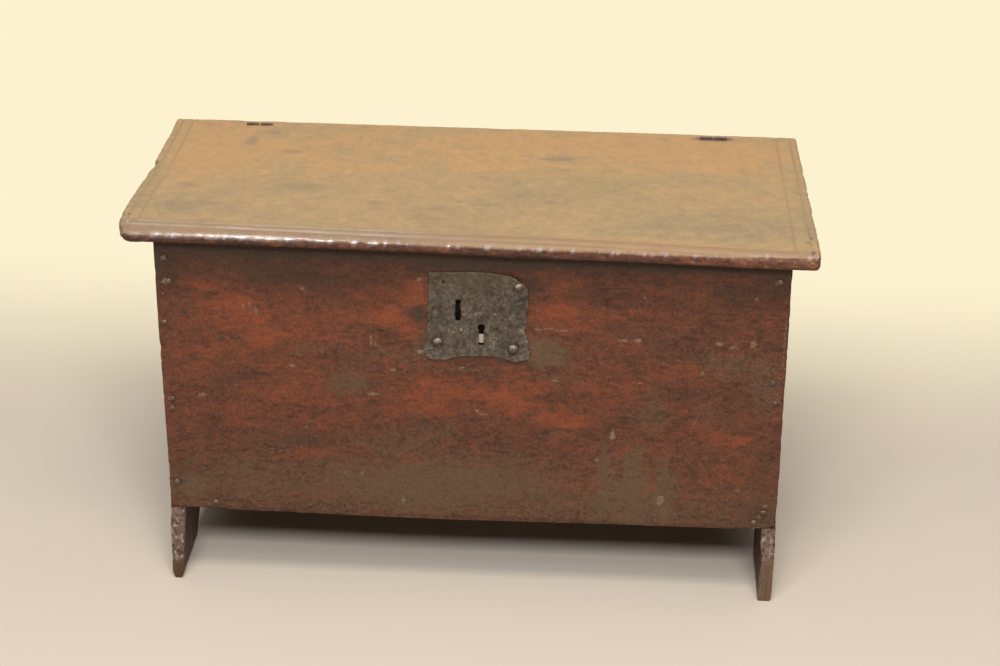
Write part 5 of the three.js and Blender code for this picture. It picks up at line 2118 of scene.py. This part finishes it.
@dataclass
class PlateLock:
    """The iron plate, forged and uneven, and the works behind it.

    Attributes:
        middle: x and z of the plate's middle.
        size: its width and height.
        face: y of its outer face.
        thick: its thickness.
        slot: the hasp slot: x, z, half width and half height.
        key: the keyhole: x, z, radius, half slit and how far the slit drops.
        spacing: distance between the net's points.
    """

    middle: tuple[float, float] = (13.0, 420.0)
    size: tuple[float, float] = (142.0, 128.0)
    face: float = -193.8
    thick: float = 2.0
    slot: tuple[float, float, float, float] = (-12.0, 429.4, 3.7, 15.5)
    key: tuple[float, float, float, float, float] = (18.5, 405.2, 4.8, 3.2, 26.0)
    spacing: float = 1.5

    OUTLINE = (
        (-0.453, 0.04), (-0.446, 0.48), (-0.07, 0.5), (0.12, 0.498), (0.324, 0.456), (0.426, 0.383),
        (0.468, 0.318), (0.461, -0.041), (0.439, -0.143), (0.463, -0.211), (0.5, -0.39), (0.486, -0.448),
        (0.401, -0.486), (0.366, -0.491), (0.2, -0.449), (0.028, -0.432), (-0.145, -0.449), (-0.306, -0.495),
        (-0.408, -0.5), (-0.473, -0.456), (-0.5, -0.4), (-0.464, -0.262),
    )
    NAILS = ((-0.368, -0.291), (0.34, -0.346), (0.38, 0.348))
    LOST_NAIL = (-0.313, 0.38)

    def _on(self, share: tuple[float, float]) -> tuple[float, float]:
        """A share of the plate as a place."""
        return (self.middle[0] + share[0] * self.size[0], self.middle[1] + share[1] * self.size[1])

    def _loops(self) -> list[Array]:
        """The plate's outline and its holes.

        Returns:
            Each loop's points, evenly spaced.
        """
        rough = Noise(61)
        outline = self._even(np.array([self._on(s) for s in self.OUTLINE]), 1.2)
        jitter = np.column_stack([outline, np.zeros(len(outline))])
        wander = [rough.at(jitter + shift, (5, 5, 5), 2) for shift in (0, 90)]
        outline = outline + 0.45 * np.stack(wander, 1)
        x, z, half, tall = self.slot
        turn = np.linspace(0, math.pi, 9)
        reach = tall - half
        slot = np.concatenate([
            np.stack([x + half * np.cos(turn), z + reach + half * np.sin(turn)], 1),
            np.stack([x - half * np.cos(turn), z - reach - half * np.sin(turn)], 1)])
        x, z, radius, slit, drop = self.key
        meet = math.asin(slit / radius)
        turn = np.linspace(1.5 * math.pi - meet, -0.5 * math.pi + meet, 14)
        key = np.concatenate([
            [(x - slit, z - drop)], np.stack([x + radius * np.cos(turn), z + radius * np.sin(turn)], 1),
            [(x + slit, z - drop)]])
        lost_x, lost_z = self._on(self.LOST_NAIL)
        turn = np.linspace(0, 2 * math.pi, 11)[:-1]
        lost = np.stack([lost_x + 2.3 * np.cos(turn), lost_z + 2.6 * np.sin(turn)], 1)
        return [outline, self._even(slot, 1.1), self._even(key, 1.1), lost]

    @staticmethod
    def _even(loop: Array, spacing: float) -> Array:
        """Puts points at even steps along a loop.

        Args:
            loop: its corners.
            spacing: the step.

        Returns:
            The points, corners included.
        """
        out = []
        for start, end in zip(loop, np.roll(loop, -1, 0)):
            steps = max(1, round(float(np.linalg.norm(end - start)) / spacing))
            out += [start + (end - start) * i / steps for i in range(steps)]
        return np.array(out)

    def _sheet(self) -> tuple[Sheet, Array]:
        """Fills the outline between the holes.

        Returns:
            The net, and how far each point lies from an edge.
        """
        loops = self._loops()
        low, high = loops[0].min(0), loops[0].max(0)
        rows = np.arange(low[1], high[1], self.spacing * 0.87)
        starts = [low[0] + (i % 2) * self.spacing / 2 for i in range(len(rows))]
        inner = np.array([(x, row) for start, row in zip(starts, rows)
                          for x in np.arange(start, high[0], self.spacing)])
        edges = np.concatenate([sides_of(loop) for loop in loops])
        inner = inner[to_lines(inner, edges) > 0.55]
        near = [loop + self._inward(loop, 0.5 if i == 0 else -0.5) for i, loop in enumerate(loops)]
        sheet, _ = triangles(loops, np.concatenate([*near, inner]))
        middles, hole = sheet.points[sheet.faces].mean(1), False
        for loop in loops[1:]:
            hole = hole | self._inside(middles, loop)
        sheet = sheet.only(~hole)
        return sheet, to_lines(sheet.points, edges)

    @staticmethod
    def _inward(loop: Array, amount: float) -> Array:
        """Steps square to a loop.

        Args:
            loop: its points; the outline turns either way.
            amount: how far, inwards when above zero.

        Returns:
            One step for each point.
        """
        along = np.roll(loop, -1, 0) - np.roll(loop, 1, 0)
        side = np.stack([-along[:, 1], along[:, 0]], 1)
        side /= np.maximum(np.linalg.norm(side, axis=1, keepdims=True), 1e-9)
        x, z = loop.T
        area = np.sum(x * np.roll(z, -1) - np.roll(x, -1) * z)
        return side * amount * np.sign(area)

    @staticmethod
    def _inside(points: Array, loop: Array) -> Array:
        """Which points lie in a loop.

        Args:
            points: the points.
            loop: the loop.

        Returns:
            True for each that does.
        """
        odd = np.zeros(len(points), bool)
        for (x0, z0), (x1, z1) in zip(loop, np.roll(loop, -1, 0)):
            if z0 == z1:
                continue
            cross = (z0 > points[:, 1]) != (z1 > points[:, 1])
            odd ^= cross & (points[:, 0] < (x1 - x0) * (points[:, 1] - z0) / (z1 - z0) + x0)
        return odd

    def build(self) -> None:
        """Makes the plate and dresses the works behind it."""
        sheet, away = self._sheet()
        drop = round_drop(away, 0.7)
        local, faces, down = thicken(sheet, -drop, -self.thick + drop * 0.3, (0.5,))
        setting = Setting((0, self.face, 0), (1, 0, 0), (0, 0, 1), (0, -1, 0))
        rest = len(local) - 2 * len(away)
        shell = Shell(setting.place(local), faces, np.concatenate([away, away, np.full(rest, 0.5)]))
        place, wave = shell.points.copy(), Noise(62)
        px, _, pz = place.T
        flat = np.column_stack([px, np.zeros(len(place)), pz])
        nails = np.zeros(len(place))
        for share in self.NAILS:
            x, z = self._on(share)
            nails += bell(np.hypot(px - x, pz - z), 8.0)
        lift = 0.35 * wave.at(flat, (26, 26, 26), 2) + 0.2 - 0.5 * nails
        low = smooth(-pz, -374, -356)
        right = smooth(px, 66, 84)
        shell.points[:, 1] -= np.maximum(lift, -0.2) + 0.9 * low + 0.5 * right * (1 - nails)
        outer = down < 0.25
        grit = np.where(outer, wave.at(place, (2.2, 2.2, 2.2), 2), 0)
        shell.points[:, 1] -= 0.11 * grit
        top = smooth(pz, 478, 484) * smooth(wave.at(place, (9, 9, 9), 2), -0.2, 0.5)
        chips = smooth(px, 66, 76) * smooth(-np.abs(pz - 394), -14, -4)
        # Pale halos under the nails, and a ring of painted shade round each nail head.
        halos_and_ring_shade = np.zeros(len(place))
        for share, power in zip(self.NAILS, (0.1, 0.1, 0.45)):
            x, z = self._on(share)
            halos_and_ring_shade += power * bell(np.hypot(px - x, pz - z + 5), 9.0)
            halos_and_ring_shade -= 0.6 * bell(np.hypot(px - x, pz - z + 1) - 7.0, 1.8)
        lost_x, lost_z = self._on(self.LOST_NAIL)
        halos_and_ring_shade += 0.6 * bell(np.hypot((px - lost_x - 2) / 7, (pz - lost_z + 4) / 3), 1.0)
        shell.paints = {
            "rub": 0.5 * top + 0.45 * chips + halos_and_ring_shade + 0.16 * smooth(-pz, -440, -375)
            + 0.7 * smooth(-shell.arris, -1.8, 0) * smooth(wave.at(place, (7, 7, 7), 2), 0, 0.6),
            "tint": 0.6 * smooth(pz, 425, 480) - 0.05,
        }
        finish = OldIron(pit=0.7, coarse=260.0, contrast=1.15).build("iron_plate")
        dress(shell.to_piece("plate", finish), Body.CHEST, Slot.PLATE_IRON, "lock_plate")
        self._works()

    @staticmethod
    def _works() -> None:
        """Gives the works behind the plate their iron."""
        filed = OldIron(pit=0.2, coarse=420.0, gloss=0.4).build("iron_lock")
        # A pale iron for the ward, which shows through the keyhole's slit.
        pale_ward_iron = OldIron(
            tones=((0.30, 0.22, 0.17), (0.46, 0.36, 0.29), (0.60, 0.49, 0.41), (0.70, 0.60, 0.52)),
            tint=(0.50, 0.38, 0.30), pit=0.2, coarse=420.0, contrast=0.6, shine=0.0).build("iron_ward")
        for name in ("lock_bolt", "bolt_spring", "left_bolt_staple", "right_bolt_staple", "key_ward"):
            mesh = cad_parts[name].data
            mesh.materials.clear()
            mesh.materials.append(pale_ward_iron if name == "key_ward" else filed)


# The room for the picture


@dataclass(frozen=True)
class Lamp:
    """A soft lamp over the floor.

    Attributes:
        name: its name.
        place: where it is, in metres.
        target: where it points.
        size: its width and height.
        power: its power in watts.
        colour: its colour.
    """

    name: str
    place: Point
    target: Point
    size: tuple[float, float]
    power: float
    colour: Colour

    def hang(self) -> None:
        """Adds the lamp to the scene."""
        lamp = bpy.data.lights.new(self.name, "AREA")
        lamp.shape, lamp.size, lamp.size_y = "RECTANGLE", *self.size
        lamp.energy, lamp.color = self.power, self.colour
        thing = add_object(self.name, lamp)
        thing.location = self.place
        way = Vector(self.target) - Vector(self.place)
        thing.rotation_euler = way.to_track_quat("-Z", "Y").to_euler()


@dataclass
class Studio:
    """A pale floor, soft light and the camera.

    Attributes:
        eye: the camera's place.
        pitch: how far it looks down, in degrees.
        yaw: how far it looks to the left.
        roll: how far it leans.
        focal: its focal length in pixels at the image's width.
        width: the image's width in pixels.
        floor: the floor's colour.
        backdrop: what the camera sees where the floor fades out behind the chest.
        fade: where that fading starts and ends, in metres behind the middle.
        reach: how far the floor goes each way, in metres.
        lamps: the lamps.
    """

    eye: Point = (167.65, -2856.09, 1644.58)
    pitch: float = 25.056
    yaw: float = 2.674
    roll: float = 0.888
    focal: float = 2242.3
    width: float = 1000.0
    floor: Colour = (0.80, 0.705, 0.60)
    backdrop: Colour = (0.985, 0.885, 0.625)
    fade: tuple[float, float] = (0.2, 1.0)
    reach: float = 30.0
    lamps: tuple[Lamp, ...] = (
        Lamp("overhead", (0.1, -2.0, 4.2), (0.0, -0.15, 0.3), (2.6, 0.9), 69.0, (1.0, 0.91, 0.78)),
        Lamp("front", (0.3, -3.9, 3.45), (0.0, -0.2, 0.2), (2.4, 0.9), 156.0, (0.97, 0.97, 0.97)),
        Lamp("window", (-0.72, -2.2, 2.9), (-0.25, -0.2, 0.53), (0.55, 0.4), 12.0, (0.78, 0.88, 1.0)),
    )

    def build(self) -> None:
        """Makes floor, light and camera."""
        self._floor()
        self._light()
        self._camera()

    def _floor(self) -> None:
        """A wide plain floor."""
        mesh = bpy.data.meshes.new("floor")
        r = self.reach
        mesh.from_pydata([(-r, -r, 0), (r, -r, 0), (r, r, 0), (-r, r, 0)], [], [(0, 1, 2, 3)])
        shader = Shader("floor_pale")
        plain = shader.node("ShaderNodeBsdfPrincipled", {}, {
            "Base Color": self.floor, "Roughness": 0.9, "Specular IOR Level": 0.1})
        glow = shader.node("ShaderNodeEmission", {}, {"Color": self.backdrop, "Strength": 1.0})
        far = shader.node("ShaderNodeSeparateXYZ", {}, {0: shader.place}, "Y").step(*self.fade)
        share = shader.seen_rays() * far
        shader.node_output(shader.node("ShaderNodeMixShader", {}, {0: share, 1: plain, 2: glow}))
        mesh.materials.append(shader.material)
        floor = add_object("floor", mesh)

    def _light(self) -> None:
        """Soft light from above and in front, and a pale surround."""
        world = bpy.data.worlds.new("surround")
        bpy.context.scene.world = world
        sky = Shader("surround", world)
        up = sky.node("ShaderNodeSeparateXYZ", {}, {0: sky.place}, "Z").step(0.44, 1.0)
        behind = sky.node("ShaderNodeSeparateXYZ", {}, {0: sky.place}, "Y")
        seen = sky.seen_rays()
        strength = up * (behind * 0.40 + 0.40) + 0.03
        fill = sky.node("ShaderNodeBackground", {}, {"Color": (1.0, 0.97, 0.93), "Strength": strength})
        pale = sky.node("ShaderNodeBackground", {}, {"Color": self.backdrop, "Strength": 1.0})
        blend = sky.node("ShaderNodeMixShader", {}, {0: seen, 1: fill, 2: pale})
        sky.node_output(blend, "ShaderNodeOutputWorld")
        for lamp in self.lamps:
            lamp.hang()

    def _camera(self) -> None:
        """Stands the camera where the photograph was taken from."""
        pitch, yaw, roll = (math.radians(a) for a in (self.pitch, self.yaw, self.roll))
        ahead = Vector((-math.sin(yaw) * math.cos(pitch), math.cos(yaw) * math.cos(pitch), -math.sin(pitch)))
        level = Vector((math.cos(yaw), math.sin(yaw), 0.0))
        upright = level.cross(ahead)
        right = math.cos(roll) * level + math.sin(roll) * upright
        up = -math.sin(roll) * level + math.cos(roll) * upright
        data = bpy.data.cameras.new("camera")
        data.sensor_fit, data.sensor_width = "HORIZONTAL", 36.0
        data.lens = data.sensor_width * self.focal / self.width
        camera = add_object("camera", data)
        turned = Matrix((right, up, -ahead)).transposed().to_4x4()
        camera.matrix_world = Matrix.Translation(Vector(self.eye) * MM) @ turned
        bpy.context.scene.camera = camera
        bpy.context.scene.view_settings.view_transform = "Standard"


def main() -> None:
    """Builds the chest's looks piece by piece."""
    logging.basicConfig(level=logging.INFO, format="%(name)s: %(message)s")
    makers: list[Callable[[], None]] = [
        Studio().build, Lid().build, Carcase().build, Hinges().build, Nails().build, PlateLock().build]
    for make in makers:
        make()


if __name__ == "__main__":
    main()
